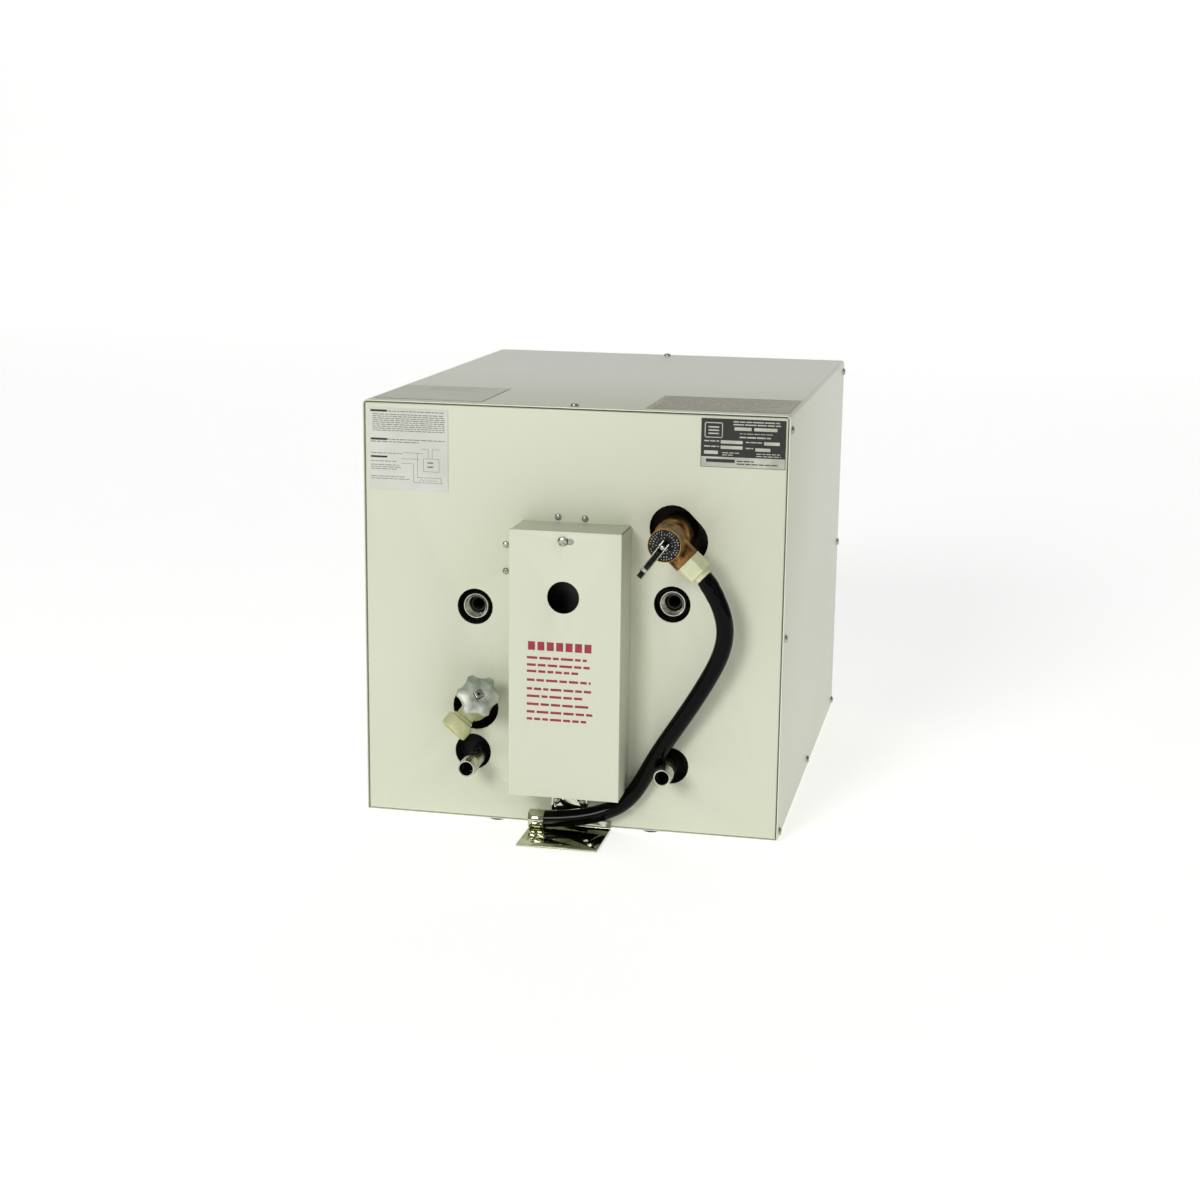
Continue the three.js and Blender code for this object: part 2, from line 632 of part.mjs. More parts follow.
// ---- Access cover
function accessCover() {
  const { left, right, bottom, top, depth } = COVER;
  const back = PANEL_FACE - GAP;
  const shell = cut(
    block([left, -depth, bottom], [right, back, top]),
    block([left + SHEET, -depth + SHEET, bottom + SHEET], [right - SHEET, back + 1, top - SHEET]),
  );
  const slit = (x, z) => block([x, -depth + SHEET, z], [x + COVER_SLIT, back + 1, z + COVER_SLIT]);
  const slot = join(
    frontHole(SLOT, SLOT.r, -depth - 1, -depth + 2),
    frontHole({ x: SLOT.x + SLOT.length, z: SLOT.z }, SLOT.r, -depth - 1, -depth + 2),
    block([SLOT.x, -depth - 1, SLOT.z - SLOT.r], [SLOT.x + SLOT.length, -depth + 2, SLOT.z + SLOT.r]),
  );
  return cut(
    shell,
    slit(left, bottom),
    slit(right - COVER_SLIT, bottom),
    slit(left, top - COVER_SLIT),
    slit(right - COVER_SLIT, top - COVER_SLIT),
    frontHole(CABLE_HOLE, CABLE_HOLE.r, -depth - 1, -depth + 2),
    slot,
  );
}

// A bent strip from the panel to the back of the cover, that the cover's screw goes into.
function coverBracket() {
  const { half, wall } = COVER_STRIP;
  const [x0, x1] = [SLOT.x - half, SLOT.x + half];
  const foot = PANEL_FACE - GAP;
  const tip = -COVER.depth + SHEET + GAP;
  const [low, high] = [WIRING_HOLE.top + 2, COVER.top - SHEET - 2];
  const strip = join(
    block([x0, foot - wall, low], [x1, foot, high]),
    block([x0, tip, high - wall], [x1, foot, high]),
    block([x0, tip, SLOT.z - 7], [x1, tip + wall, high]),
  );
  return cut(strip, frontHole(SLOT, COVER_SCREW.shank + GAP, tip - 1, tip + 4));
}

function coverScrew() {
  const { head, thick, shank, reach } = COVER_SCREW;
  const at = (y) => [SLOT.x, y - COVER.depth, SLOT.z];
  return join(rod(head, at(-thick), at(-GAP)), rod(shank, at(-1), at(reach), 16));
}

// ---- Relief valve, on its own axis: Z out of the front, origin on the casing's front edge plane
function reliefBody() {
  const { thread, bore, collar, barrel, chamber, height } = RELIEF;
  const seat = RELIEF_SEAT;
  const profile = [
    [bore, -RELIEF_DEPTH],
    [thread, -RELIEF_DEPTH],
    [thread, -2],
    [collar - 1, -2],
    [collar, -1],
    [collar, 18],
    [collar - 1.4, 20],
    [barrel, 20.5],
    [barrel, height - 1.6],
    [barrel - 0.5, height - 1],
    [RELIEF_CAP_R + GAP, height - 1],
    [RELIEF_CAP_R + GAP, height - 3.5],
    [chamber, height - 3.5],
    [chamber, seat + 1],
    [bore - 2, seat + 1],
    [bore - 2, seat - 2],
    [bore, seat - 4],
    [bore, -RELIEF_DEPTH],
  ];
  const way = [Math.cos(degrees(OUTLET_ANGLE)), Math.sin(degrees(OUTLET_ANGLE))];
  const at = (distance) => [way[0] * distance, way[1] * distance, RELIEF.outlet];
  const boss = cut(
    rod(OUTLET_BOSS.r, at(0), at(OUTLET_BOSS.reach)),
    rod(chamber + 0.6, [0, 0, 15], [0, 0, 52]),
  );
  return cut(join(turned(profile), boss), rod(OUTLET_BOSS.bore, at(0), at(OUTLET_BOSS.reach + 1), 16));
}

const reliefCap = () => ring(STEM_R + 2 * GAP, RELIEF_CAP_R, RELIEF.height - 3.2, RELIEF.height, 0.4);

// The spring stands between the seat disc and the cap.
function reliefSpring() {
  const { bottom, fromTop, turns, perTurn, radius } = SPRING;
  const rise = RELIEF.height - fromTop - bottom;
  const steps = turns * perTurn;
  const points = Array.from({ length: steps + 1 }, (_, i) => {
    const angle = (2 * Math.PI * i) / perTurn;
    return new THREE.Vector3(radius * Math.cos(angle), radius * Math.sin(angle), bottom + (rise * i) / steps);
  });
  return bar(new THREE.CatmullRomCurve3(points), SPRING.wire, steps, 6);
}

function reliefStem() {
  const pinWay = new THREE.Vector3(0, 1, 0).applyAxisAngle(new THREE.Vector3(0, 0, 1), degrees(LEVER.angle));
  const across = (distance) => [pinWay.x * distance, pinWay.y * distance, PIN_HEIGHT];
  const eye = rod(EYE_R, across(-STEM_R), across(STEM_R), 20);
  return cut(
    join(
      rod(SEAT_DISC_R, [0, 0, RELIEF_SEAT + 1 + GAP], [0, 0, RELIEF_SEAT + 5]),
      rod(STEM_R, [0, 0, RELIEF_SEAT + 4], [0, 0, PIN_HEIGHT - EYE_R + 1], 16),
      eye,
    ),
    rod(PIN.r + GAP, across(-6), across(6), 16),
  );
}

// In its own frame: X along the lever from the pin, Y along the pin, Z away from the valve.
function reliefLever() {
  const { length, fork, width, wall, foot, back } = LEVER;
  const half = width / 2;
  const web = EYE_R + 1.6;
  const channel = join(
    block([-fork, -half, -foot], [length, -half + wall, back - 0.5]),
    block([-fork, half - wall, -foot], [length, half, back - 0.5]),
    block([web, -half, back - wall], [length, half, back]),
  );
  return cut(channel, rod(PIN.r + GAP, [0, -half - 1, 0], [0, half + 1, 0], 16));
}

const leverPin = () => rod(PIN.r, [0, -PIN.length / 2, 0], [0, PIN.length / 2, 0], 16);

// A nylon adapter screwed into the outlet boss, in the boss's own frame with Z along the outlet.
function outletAdapter() {
  const { hex, flange, neck, reach, bore } = ADAPTER;
  const start = OUTLET_BOSS.reach;
  return cut(
    join(
      rod(OUTLET_BOSS.bore - GAP, [0, 0, start - 8], [0, 0, start + 1], 24),
      rod(hex / Math.sqrt(3), [0, 0, start + GAP], [0, 0, start + GAP + flange], 6),
      rod(neck, [0, 0, start + flange], [0, 0, reach], 24),
    ),
    rod(bore, [0, 0, start - 9], [0, 0, reach + 1], 16),
  );
}

// The strap that holds the hose's end down on the bracket.
function hoseStrap() {
  const inner = HOSE_R + STRAP.clear;
  const [x, y, z] = HOSE_ROUTE[HOSE_ROUTE.length - 1];
  return ring(inner, inner + STRAP.wall, 0, STRAP.length).rotate([0, 90, 0]).translate([x, y, z]);
}

// ---- Drain valve, on its spindle's axis: origin where that axis meets the inlet's
const drainTurn = new THREE.Quaternion();
function drainGroup() {
  const out = new THREE.Vector3(...DRAIN_AXIS).normalize();
  const right = new THREE.Vector3(1, 0, 0).addScaledVector(out, -out.x).normalize();
  const up = new THREE.Vector3().crossVectors(out, right);
  drainTurn.setFromRotationMatrix(new THREE.Matrix4().makeBasis(right, up, out));
  const group = new THREE.Group();
  group.position.set(drain.x, DRAIN.centre, drain.z);
  group.quaternion.copy(drainTurn);
  body.add(group);
  return group;
}

// A direction of the casing, seen in the drain valve's frame, as a point at a distance from a start.
function drainPoint(direction, distance, start = 0) {
  const local = new THREE.Vector3(...direction).normalize().applyQuaternion(drainTurn.clone().invert());
  return [local.x * distance, local.y * distance, local.z * distance + start];
}

function drainBody() {
  const inward = [0, 1, 0];
  const neck = (radius, near, far) =>
    rod(radius, drainPoint(DRAIN_OUTLET, near, CUP.from), drainPoint(DRAIN_OUTLET, far, CUP.from), 16);
  const { shank, barrel, mouth, chamber, seat } = DRAIN;
  const outside = join(
    rod(barrel, [0, 0, -6], [0, 0, mouth]),
    rod(shank, [0, 0, 0], drainPoint(inward, 24), 20),
    neck(CUP.hole + 2.5, 0, CUP.start - GAP),
  );
  return cut(
    outside,
    rod(chamber, [0, 0, seat], [0, 0, mouth + 1], 20),
    rod(4, [0, 0, -2], [0, 0, seat + 1], 12),
    rod(shank - 3, drainPoint(inward, 2), drainPoint(inward, 25), 12),
    neck(CUP.hole - 1, chamber - 3, CUP.start + 1),
  );
}

function drainBonnet() {
  const top = DRAIN.mouth + GAP;
  const outside = join(
    rod(BONNET.across, [0, 0, top], [0, 0, top + BONNET.thick], 6),
    rod(BONNET.neck, [0, 0, top + BONNET.thick - 0.5], [0, 0, KNOB.base - 3]),
  );
  return cut(outside, rod(SPINDLE.r + GAP, [0, 0, 0], [0, 0, KNOB.base], 20));
}

function drainWasher() {
  const low = DRAIN.seat + GAP;
  return ring(WASHER.inner, WASHER.r, low, low + WASHER.thick);
}

function drainJumper() {
  const low = DRAIN.seat + WASHER.thick + 2 * GAP;
  return join(
    rod(WASHER.r, [0, 0, low], [0, 0, STEM_START - GAP]),
    rod(WASHER.inner - GAP, [0, 0, DRAIN.seat + 2 * GAP], [0, 0, low + 1], 12),
  );
}

const drainStem = () =>
  join(
    rod(SPINDLE.r, [0, 0, STEM_START], [0, 0, SPINDLE.shoulder + 1], 20),
    rod(SPINDLE.square / Math.SQRT2, [0, 0, SPINDLE.shoulder], [0, 0, SPINDLE.end], 4),
  );

// A six-lobed hand wheel on the spindle's square end.
function drainKnob() {
  const { tip, scallop, valley, lobes, base, thick, hub, hubTop } = KNOB;
  const scallops = Array.from({ length: lobes }, (_, i) => {
    const angle = (2 * Math.PI * (i + 0.5)) / lobes;
    const [x, y] = [Math.cos(angle) * (valley + scallop), Math.sin(angle) * (valley + scallop)];
    return rod(scallop, [x, y, base - 1], [x, y, base + thick + 1], 28);
  });
  const wheel = cut(rod(tip, [0, 0, base], [0, 0, base + thick], 60), ...scallops);
  const square = rod((SPINDLE.square + 2 * GAP) / Math.SQRT2, [0, 0, base - 1], [0, 0, hubTop + 1], 4);
  return cut(join(wheel, rod(hub, [0, 0, base], [0, 0, hubTop], 24)), square);
}

// A nylon cup on the valve's outlet.
function drainCup() {
  const { start, end } = CUP;
  const at = (distance) => drainPoint(DRAIN_OUTLET, distance, CUP.from);
  return cut(
    rod(CUP.r, at(start), at(end)),
    rod(CUP.bore, at(start + 2.5), at(end + 1)),
    rod(CUP.hole, at(start - 1), at(start + 4), 16),
  );
}

// ---- Brackets, feet and labels
function bracket() {
  const { left, right, reach, sheet, lip, tabLeft, tabRight, tabTop } = BRACKET;
  const back = PANEL_FACE - GAP;
  const floor = -FOOT_H;
  const whole = join(
    block([left, -reach, floor], [right, back, floor + sheet]),
    block([left, back - sheet, floor], [right, back, floor + lip]),
    block([tabLeft, back - sheet, floor], [tabRight, back, tabTop]),
  );
  const plateHoles = BRACKET_HOLES.map(([x, y]) =>
    rod(BRACKET_HOLE_R, [x, y, floor - 1], [x, y, floor + sheet + 1], 16),
  );
  const tabHoles = [-1, 1].map((side) =>
    frontHole({ x: TAB_SCREWS.x + side * TAB_SCREWS.half, z: TAB_SCREWS.z }, TAB_SCREWS.r),
  );
  return cut(whole, ...plateHoles, ...tabHoles);
}

const foot = ([x, y]) => rod(FOOT_R, [x, y, -FOOT_H], [x, y, -GAP], 24);

function frontLabel(left, { fromTop, width, height }) {
  const face = PANEL_FACE - GAP;
  const top = CASE_H - fromTop;
  return block([left, face - LABEL, top - height], [left + width, face, top]);
}

function topLabel(left, { width, front, rear }) {
  return block([left, front, CASE_H + GAP], [left + width, rear, CASE_H + GAP + LABEL]);
}

// ---- Assembly
function addCasing() {
  piece(body, "casing_wrap", casingWrap(), enamel);
  piece(body, "base_pan", basePan(), enamel);
  piece(body, "front_panel", frontPanel(), enamel);
  piece(body, "rear_panel", rearPanel(), enamel);
  piece(body, "insulation_lower", insulationLower(), foam);
  piece(body, "insulation_upper", insulationUpper(), foam);
  const half = CASE_W / 2;
  piece(body, "data_label", frontLabel(-half + DATA_LABEL.fromSide, DATA_LABEL), paper);
  piece(body, "nameplate", frontLabel(half - NAMEPLATE.fromSide - NAMEPLATE.width, NAMEPLATE), platePrint);
  piece(body, "top_label", topLabel(-half + TOP_LABEL.fromSide, TOP_LABEL), paper);
  piece(body, "top_notice", topLabel(half - TOP_NOTICE.fromSide - TOP_NOTICE.width, TOP_NOTICE), paper);
}

function addTank() {
  const radius = (place) => Math.hypot(place.x, place.z - TANK_Z);
  piece(body, "tank_barrel", tankBarrel(), steel);
  piece(body, "tank_front_head", tankFrontHead(), steel);
  piece(body, "tank_rear_head", tankRearHead(), steel);
  const coupling = (port) => socket(port, COUPLING_BORE_R, COUPLING_R, COUPLING_RECESS, radius(port));
  piece(body, "cold_inlet_coupling", coupling(cold), steel);
  piece(body, "hot_outlet_coupling", coupling(hot), steel);
  piece(body, "cold_dip_tube", dipTube(cold, 250), nylonWhite);
  piece(body, "hot_pickup_tube", dipTube(hot, 75), nylonWhite);
  const reliefSpud = socket(relief, RELIEF.thread + GAP, RELIEF_SPUD_R, 3, radius(relief));
  piece(body, "relief_socket", reliefSpud, steel);
  const drainSpud = socket(drain, DRAIN.shank + GAP, COUPLING_R, 12, radius(drain));
  piece(body, "drain_socket", drainSpud, steel);
  piece(body, "heat_exchanger_tube", heatExchanger(), copper);
  piece(body, "exchanger_barb_left", hoseBarb(barbLeft), steel);
  piece(body, "exchanger_barb_right", hoseBarb(barbRight), steel);
}

function addControls() {
  const { x, z, half, across } = ELEMENT;
  const { gasket, socket: front } = ELEMENT_DEPTHS;
  piece(body, "element_socket", socket(ELEMENT, ELEMENT.bore, ELEMENT.spud, front, elementRadius), steel);
  const washer = ring(ELEMENT.thread + GAP, across / 2, gasket + GAP, front - GAP);
  piece(body, "element_gasket", washer.rotate([-90, 0, 0]).translate([x, 0, z]), rubber);
  piece(body, "element_head", elementHead(), bronze);
  piece(body, "heating_element", heatingElement(), steel);
  piece(body, "thermostat", thermostatBody(), plasticBlack);
  piece(body, "thermostat_clip", thermostatClip(), steel);
  piece(body, "reset_button", resetButton(), plasticRed);
  piece(body, "temperature_dial", temperatureDial(), plasticBlack);
  const from = THERMOSTAT.bottom - GAP;
  const lead = (side) => [
    [x + side * 11, 8, from],
    [x + side * 13, 4, from - 20],
    [x + side * 16, -10, from - 45],
    [x + side * 17, -16, z + 40],
    [x + side * 11, -17, z + side * half + 12],
    [x, -14, z + side * half],
    [x, -11.5, z + side * half],
  ];
  piece(body, "wire_line", wire(lead(1)), wireRed);
  piece(body, "wire_neutral", wire(lead(-1)), paper);
  piece(body, "ground_screw", groundScrew(), groundGreen);
  piece(body, "access_cover", accessCover(), enamel);
  piece(body, "cover_bracket", coverBracket(), steel);
  piece(body, "cover_screw", coverScrew(), steel);
}

function addReliefValve() {
  const valve = frontGroup(relief.x, 0, relief.z);
  piece(valve, "relief_body", reliefBody(), bronze);
  piece(valve, "relief_cap", reliefCap(), plasticBlack);
  piece(valve, "relief_spring", reliefSpring(), steel);
  piece(valve, "relief_stem", reliefStem(), bronze);
  piece(valve, "temperature_probe", rod(PROBE.r, [0, 0, -PROBE.reach], [0, 0, -9], 16), copper);
  const arm = new THREE.Group();
  arm.position.set(0, 0, PIN_HEIGHT);
  arm.rotation.z = degrees(LEVER.angle);
  valve.add(arm);
  piece(arm, "relief_lever", reliefLever(), steel);
  piece(arm, "lever_pin", leverPin(), bronze);
  const outlet = new THREE.Group();
  outlet.position.set(0, 0, RELIEF.outlet);
  outlet.rotation.set(0, Math.PI / 2, degrees(OUTLET_ANGLE), "ZYX");
  valve.add(outlet);
  piece(outlet, "outlet_adapter", outletAdapter(), nylonWhite);
  piece(body, "discharge_hose", bar(curveThrough(HOSE_ROUTE), HOSE_R, 44, 10), rubber);
  piece(body, "hose_strap", hoseStrap(), polished);
}

function addDrainValve() {
  const valve = drainGroup();
  piece(valve, "drain_body", drainBody(), bronze);
  piece(valve, "drain_bonnet", drainBonnet(), bronze);
  piece(valve, "drain_washer", drainWasher(), rubber);
  piece(valve, "drain_jumper", drainJumper(), bronze);
  piece(valve, "drain_stem", drainStem(), bronze);
  piece(valve, "drain_knob", drainKnob(), castGrey);
  piece(valve, "drain_outlet_cup", drainCup(), nylonClear);
}

function addSupports() {
  piece(body, "front_bracket", bracket(), polished);
  piece(body, "rear_bracket", bracket().mirror([0, 1, 0]).translate([0, CASE_D, 0]), polished);
  const names = ["foot_front_left", "foot_front_right", "foot_rear_left", "foot_rear_right"];
  names.forEach((name, i) => piece(body, name, foot(FEET[i]), rubber));
}

addCasing();
addTank();
addControls();
addReliefValve();
addDrainValve();
addSupports();

export default heater;
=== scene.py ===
"""Looks of the tank water heater: every visible piece and finish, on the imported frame."""
import math
import random

import bmesh
import bpy
from mathutils import Matrix, Vector


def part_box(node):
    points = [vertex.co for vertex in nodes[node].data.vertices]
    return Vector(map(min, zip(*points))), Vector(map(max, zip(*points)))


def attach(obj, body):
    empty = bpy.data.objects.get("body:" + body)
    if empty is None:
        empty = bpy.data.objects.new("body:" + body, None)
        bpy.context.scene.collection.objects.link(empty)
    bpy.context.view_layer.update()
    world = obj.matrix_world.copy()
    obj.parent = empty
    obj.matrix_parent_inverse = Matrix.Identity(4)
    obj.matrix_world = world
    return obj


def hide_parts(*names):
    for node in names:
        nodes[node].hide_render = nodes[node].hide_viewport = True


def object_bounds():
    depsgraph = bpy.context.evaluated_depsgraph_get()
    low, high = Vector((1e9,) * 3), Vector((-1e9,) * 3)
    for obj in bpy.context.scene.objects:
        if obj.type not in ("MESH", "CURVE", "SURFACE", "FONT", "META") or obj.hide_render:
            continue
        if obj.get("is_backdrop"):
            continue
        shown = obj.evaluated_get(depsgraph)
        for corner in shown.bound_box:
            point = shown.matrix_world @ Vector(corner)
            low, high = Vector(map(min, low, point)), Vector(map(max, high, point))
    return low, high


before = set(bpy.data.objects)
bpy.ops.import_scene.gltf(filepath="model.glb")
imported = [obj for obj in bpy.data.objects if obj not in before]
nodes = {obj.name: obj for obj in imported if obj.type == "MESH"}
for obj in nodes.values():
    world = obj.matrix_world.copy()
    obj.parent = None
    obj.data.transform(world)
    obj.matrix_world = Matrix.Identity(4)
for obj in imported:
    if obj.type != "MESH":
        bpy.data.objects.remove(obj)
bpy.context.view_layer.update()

scene = bpy.context.scene
MM = 0.001
CASE_LOW, CASE_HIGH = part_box("casing_wrap")
CASE_W = (CASE_HIGH.x - CASE_LOW.x) / MM
CASE_D = (CASE_HIGH.y - CASE_LOW.y) / MM
CASE_H = (CASE_HIGH.z - CASE_LOW.z) / MM


def at(x, y, z):
    """A place in mm: x from the casing's centre, y behind its front edge, z above its underside."""
    return Vector((x * MM, CASE_LOW.y + y * MM, CASE_LOW.z + z * MM))


# ---- Camera: to the right of the front and above it
SENSOR_MM = 36
LENS_MM = 61.33
CAMERA_AT = (0.4243, -2.1254, 0.6567)
CAMERA_RIGHT = Vector((0.97771471, 0.20959624, 0.0119736))
CAMERA_UP = Vector((-0.05711692, 0.21068705, 0.97588351))
CAMERA_FORWARD = Vector((-0.20201884, 0.95481956, -0.21796331))
camera_data = bpy.data.cameras.new("camera")
camera_data.sensor_width = SENSOR_MM
camera_data.lens = LENS_MM
camera = bpy.data.objects.new("camera", camera_data)
scene.collection.objects.link(camera)
turn = Matrix((CAMERA_RIGHT, CAMERA_UP, -CAMERA_FORWARD)).transposed()
camera.matrix_world = Matrix.Translation(CAMERA_AT) @ turn.to_4x4()
scene.camera = camera


# ---- Making pieces
WELD = 2e-6  # corners this near to each other, in metres, are one
FLAT_DEGREES = 0.6  # faces that meet at less are one


def add_piece(name, bm, material, body="casing", stands_for=(), sharp=35):
    """A finished piece: bm becomes a mesh that rides on a body."""
    mesh = bpy.data.meshes.new(name)
    bm.to_mesh(mesh)
    bm.free()
    mesh.shade_smooth()
    mesh.set_sharp_from_angle(angle=math.radians(sharp))
    for each in material if isinstance(material, (list, tuple)) else [material]:
        mesh.materials.append(each)
    piece = bpy.data.objects.new(name, mesh)
    scene.collection.objects.link(piece)
    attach(piece, body)
    if stands_for:
        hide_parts(*stands_for)
    return piece


def facing(origin, out, across=(1, 0, 0)):
    """A frame at origin whose Z runs along out and whose X is nearest to across."""
    z = Vector(out).normalized()
    x = (Vector(across) - z * Vector(across).dot(z)).normalized()
    y = z.cross(x)
    turned = Matrix((x, y, z)).transposed().to_4x4()
    return Matrix.Translation(origin) @ turned


def turned(profile, place, steps=48, closed=False):
    """A profile of (radius, height) millimetres spun about Z, then put in its place."""
    bm = bmesh.new()
    points = [bm.verts.new((r * MM, 0, h * MM)) for r, h in profile]
    pairs = list(zip(points, points[1:])) + ([(points[-1], points[0])] if closed else [])
    edges = [bm.edges.new(pair) for pair in pairs]
    bmesh.ops.spin(
        bm, geom=points + edges, cent=(0, 0, 0), axis=(0, 0, 1),
        angle=2 * math.pi, steps=steps, use_merge=True,
    )
    bmesh.ops.remove_doubles(bm, verts=bm.verts, dist=1e-6)
    bmesh.ops.recalc_face_normals(bm, faces=bm.faces)
    bmesh.ops.transform(bm, matrix=place, verts=bm.verts)
    return bm


def block(bm, low, high):
    """A box between two corners, added to bm."""
    low, high = Vector(low), Vector(high)
    size = high - low
    place = Matrix.Translation((low + high) / 2) @ Matrix.Diagonal((*size, 1))
    return bmesh.ops.create_cube(bm, size=1, matrix=place)["verts"]


def soften(bm, radius, angle=30, segments=2, where=None):
    """Rounds the edges where faces meet at more than an angle."""
    edges = [
        e for e in bm.edges
        if len(e.link_faces) == 2 and e.calc_face_angle(0) > math.radians(angle)
        and (where is None or where(e))
    ]
    bmesh.ops.bevel(
        bm, geom=edges, offset=radius * MM, offset_type="OFFSET", affect="EDGES",
        segments=segments, profile=0.5, material=-1, clamp_overlap=True,
    )
    return bm


def from_node(name):
    """A copy of a node's mesh, its triangles joined to whole faces."""
    bm = bmesh.new()
    bm.from_mesh(nodes[name].data)
    bmesh.ops.remove_doubles(bm, verts=bm.verts, dist=WELD)
    bmesh.ops.dissolve_limit(
        bm, angle_limit=math.radians(FLAT_DEGREES), verts=bm.verts, edges=bm.edges, delimit=set(),
    )
    bmesh.ops.dissolve_degenerate(bm, edges=bm.edges, dist=1e-6)
    for face in bm.faces:
        face.material_index = 0
    return bm


def merged(parts):
    """Several meshes in one."""
    whole = bmesh.new()
    for part in parts:
        mesh = bpy.data.meshes.new("part")
        part.to_mesh(mesh)
        part.free()
        whole.from_mesh(mesh)
        bpy.data.meshes.remove(mesh)
    return whole


# ---- Making materials
def linear(code):
    """An sRGB hex colour as linear RGBA."""
    parts = [int(code[i:i + 2], 16) / 255 for i in (1, 3, 5)]
    return (*(c / 12.92 if c <= 0.04045 else ((c + 0.055) / 1.055) ** 2.4 for c in parts), 1)


def add(tree, kind, links=None, **settings):
    """One node with its settings, and its sockets set or linked."""
    node = tree.nodes.new(kind)
    for key, value in settings.items():
        setattr(node, key, value)
    for key, value in (links or {}).items():
        if isinstance(value, bpy.types.NodeSocket):
            tree.links.new(value, node.inputs[key])
        else:
            node.inputs[key].default_value = value
    return node


RAMP_ENDS = (0.32, 0.68)  # noise values where a patch is wholly dark and wholly light
GLOSS_ENDS = (0.3, 0.7)


def finish(
    name, dark, light, patch_mm, roughness, grain_mm, grain_depth_mm, stretch=(1, 1, 1), detail=4,
    **shader,
):
    """A finish with patches between two colours, uneven gloss and a fine grain."""
    material = bpy.data.materials.new(name)
    material.use_nodes = True
    tree = material.node_tree
    tree.nodes.clear()
    place = add(tree, "ShaderNodeTexCoord").outputs["Object"]
    stretched = add(
        tree, "ShaderNodeMapping", {"Vector": place, "Scale": stretch},
    ).outputs["Vector"]
    patches = add(tree, "ShaderNodeTexNoise", {
        "Vector": stretched, "Scale": 1 / (patch_mm * MM), "Detail": detail, "Roughness": 0.55,
    })
    colour = add(tree, "ShaderNodeValToRGB", {"Fac": patches.outputs["Fac"]})
    for stop, position, code in zip(colour.color_ramp.elements, RAMP_ENDS, (dark, light)):
        stop.position = position
        stop.color = linear(code)
    gloss = add(tree, "ShaderNodeMapRange", {
        "Value": patches.outputs["Fac"], "From Min": GLOSS_ENDS[0], "From Max": GLOSS_ENDS[1],
        "To Min": roughness[0], "To Max": roughness[1],
    })
    grain = add(tree, "ShaderNodeTexNoise", {
        "Vector": stretched, "Scale": 1 / (grain_mm * MM), "Detail": 3.0,
    })
    bump = add(tree, "ShaderNodeBump", {
        "Height": grain.outputs["Fac"], "Distance": grain_depth_mm * MM, "Strength": 1.0,
    })
    surface = add(tree, "ShaderNodeBsdfPrincipled", {
        "Base Color": colour.outputs["Color"], "Roughness": gloss.outputs["Result"],
        "Normal": bump.outputs["Normal"], **shader,
    })
    add(tree, "ShaderNodeOutputMaterial", {"Surface": surface.outputs["BSDF"]})
    return material


# Powder-coated sheet steel, sprayed and baked: an even cream coat with a faint orange peel about
# 2 mm across, glossy enough to mirror what stands close to it.
enamel = finish(
    "cream_powder_coat", "#d5d8c1", "#d9dcc6", 220, (0.36, 0.37), 2.2, 0.0004, detail=1,
    **{"IOR": 1.5, "Coat Weight": 0.12, "Coat Roughness": 0.32},
)
# The same coat, thin on the cut edge of the sheet, and lighter than the coat as a painted
# highlight: its colour stands for the light that the edge catches.
enamel_edge_highlight = finish(
    "thin_coat_painted_highlight", "#e2e4d6", "#eef0e4", 30, (0.2, 0.3), 2.2, 0.004, **{"IOR": 1.5},
)
# Rigid polyurethane foam, poured and skinned: near black, dull, with bubbles of 1 to 2 mm.
foam = finish("dark_foam", "#0a0908", "#1b1715", 12, (0.8, 0.95), 1.6, 0.35, **{"IOR": 1.45})
# Vinyl label film: matt, a little whiter than the coat under it, with its colour toned down as
# painted shade for the shade over the left of the front.
label_film_painted_shade = finish(
    "label_film_painted_shade", "#cdcec3", "#d6d7cd", 40, (0.42, 0.5), 1.2, 0.004, **{"IOR": 1.46},
)
# Clear-backed film on the top, nearly the colour of the coat.
faint_film = finish("faint_film", "#c9ccb6", "#d2d4c2", 40, (0.4, 0.5), 1.2, 0.004, **{"IOR": 1.46})
# Aged paper label, browned by heat.
brown_film = finish(
    "brown_film", "#a9a48c", "#bcb8a0", 30, (0.45, 0.55), 1.0, 0.006, **{"IOR": 1.46},
)
# Printing inks: flat, with a slight unevenness of the print.
grey_ink = finish("grey_ink", "#6f7169", "#85877e", 4, (0.5, 0.6), 0.8, 0.002, **{"IOR": 1.5})
faint_ink = finish("faint_ink", "#b2b5a2", "#bfc1af", 4, (0.5, 0.6), 0.8, 0.002, **{"IOR": 1.5})
brown_ink = finish("brown_ink", "#8d8872", "#9d9883", 4, (0.5, 0.6), 0.8, 0.002, **{"IOR": 1.5})
red_ink = finish("red_ink", "#8c1f33", "#a52f42", 5, (0.45, 0.55), 0.8, 0.002, **{"IOR": 1.5})
black_ink = finish("black_ink", "#131412", "#22231f", 5, (0.4, 0.5), 0.8, 0.002, **{"IOR": 1.5})
# Anodised aluminium foil plate: black ground, with its print in bare metal.
black_plate = finish(
    "black_anodised_foil", "#0d0e0c", "#1a1b18", 25, (0.3, 0.38), 0.7, 0.003, **{"IOR": 1.5},
)
bare_foil = finish(
    "bare_foil", "#a9ab9d", "#c4c6b8", 20, (0.35, 0.45), 0.7, 0.003, **{"Metallic": 0.6},
)
# Stainless steel, drawn and machined: bright, with fine turned lines.
stainless = finish(
    "machined_stainless", "#a6a699", "#d6d6c9", 8, (0.16, 0.3), 0.5, 0.006, **{"Metallic": 1.0},
)
# Tank steel as welded and foamed round: browned by heat and smeared with dark foam.
stained_steel = finish(
    "foam_stained_steel", "#140d0a", "#33231b", 14, (0.35, 0.6), 2.0, 0.05,
    **{"Metallic": 0.5, "IOR": 1.5},
)
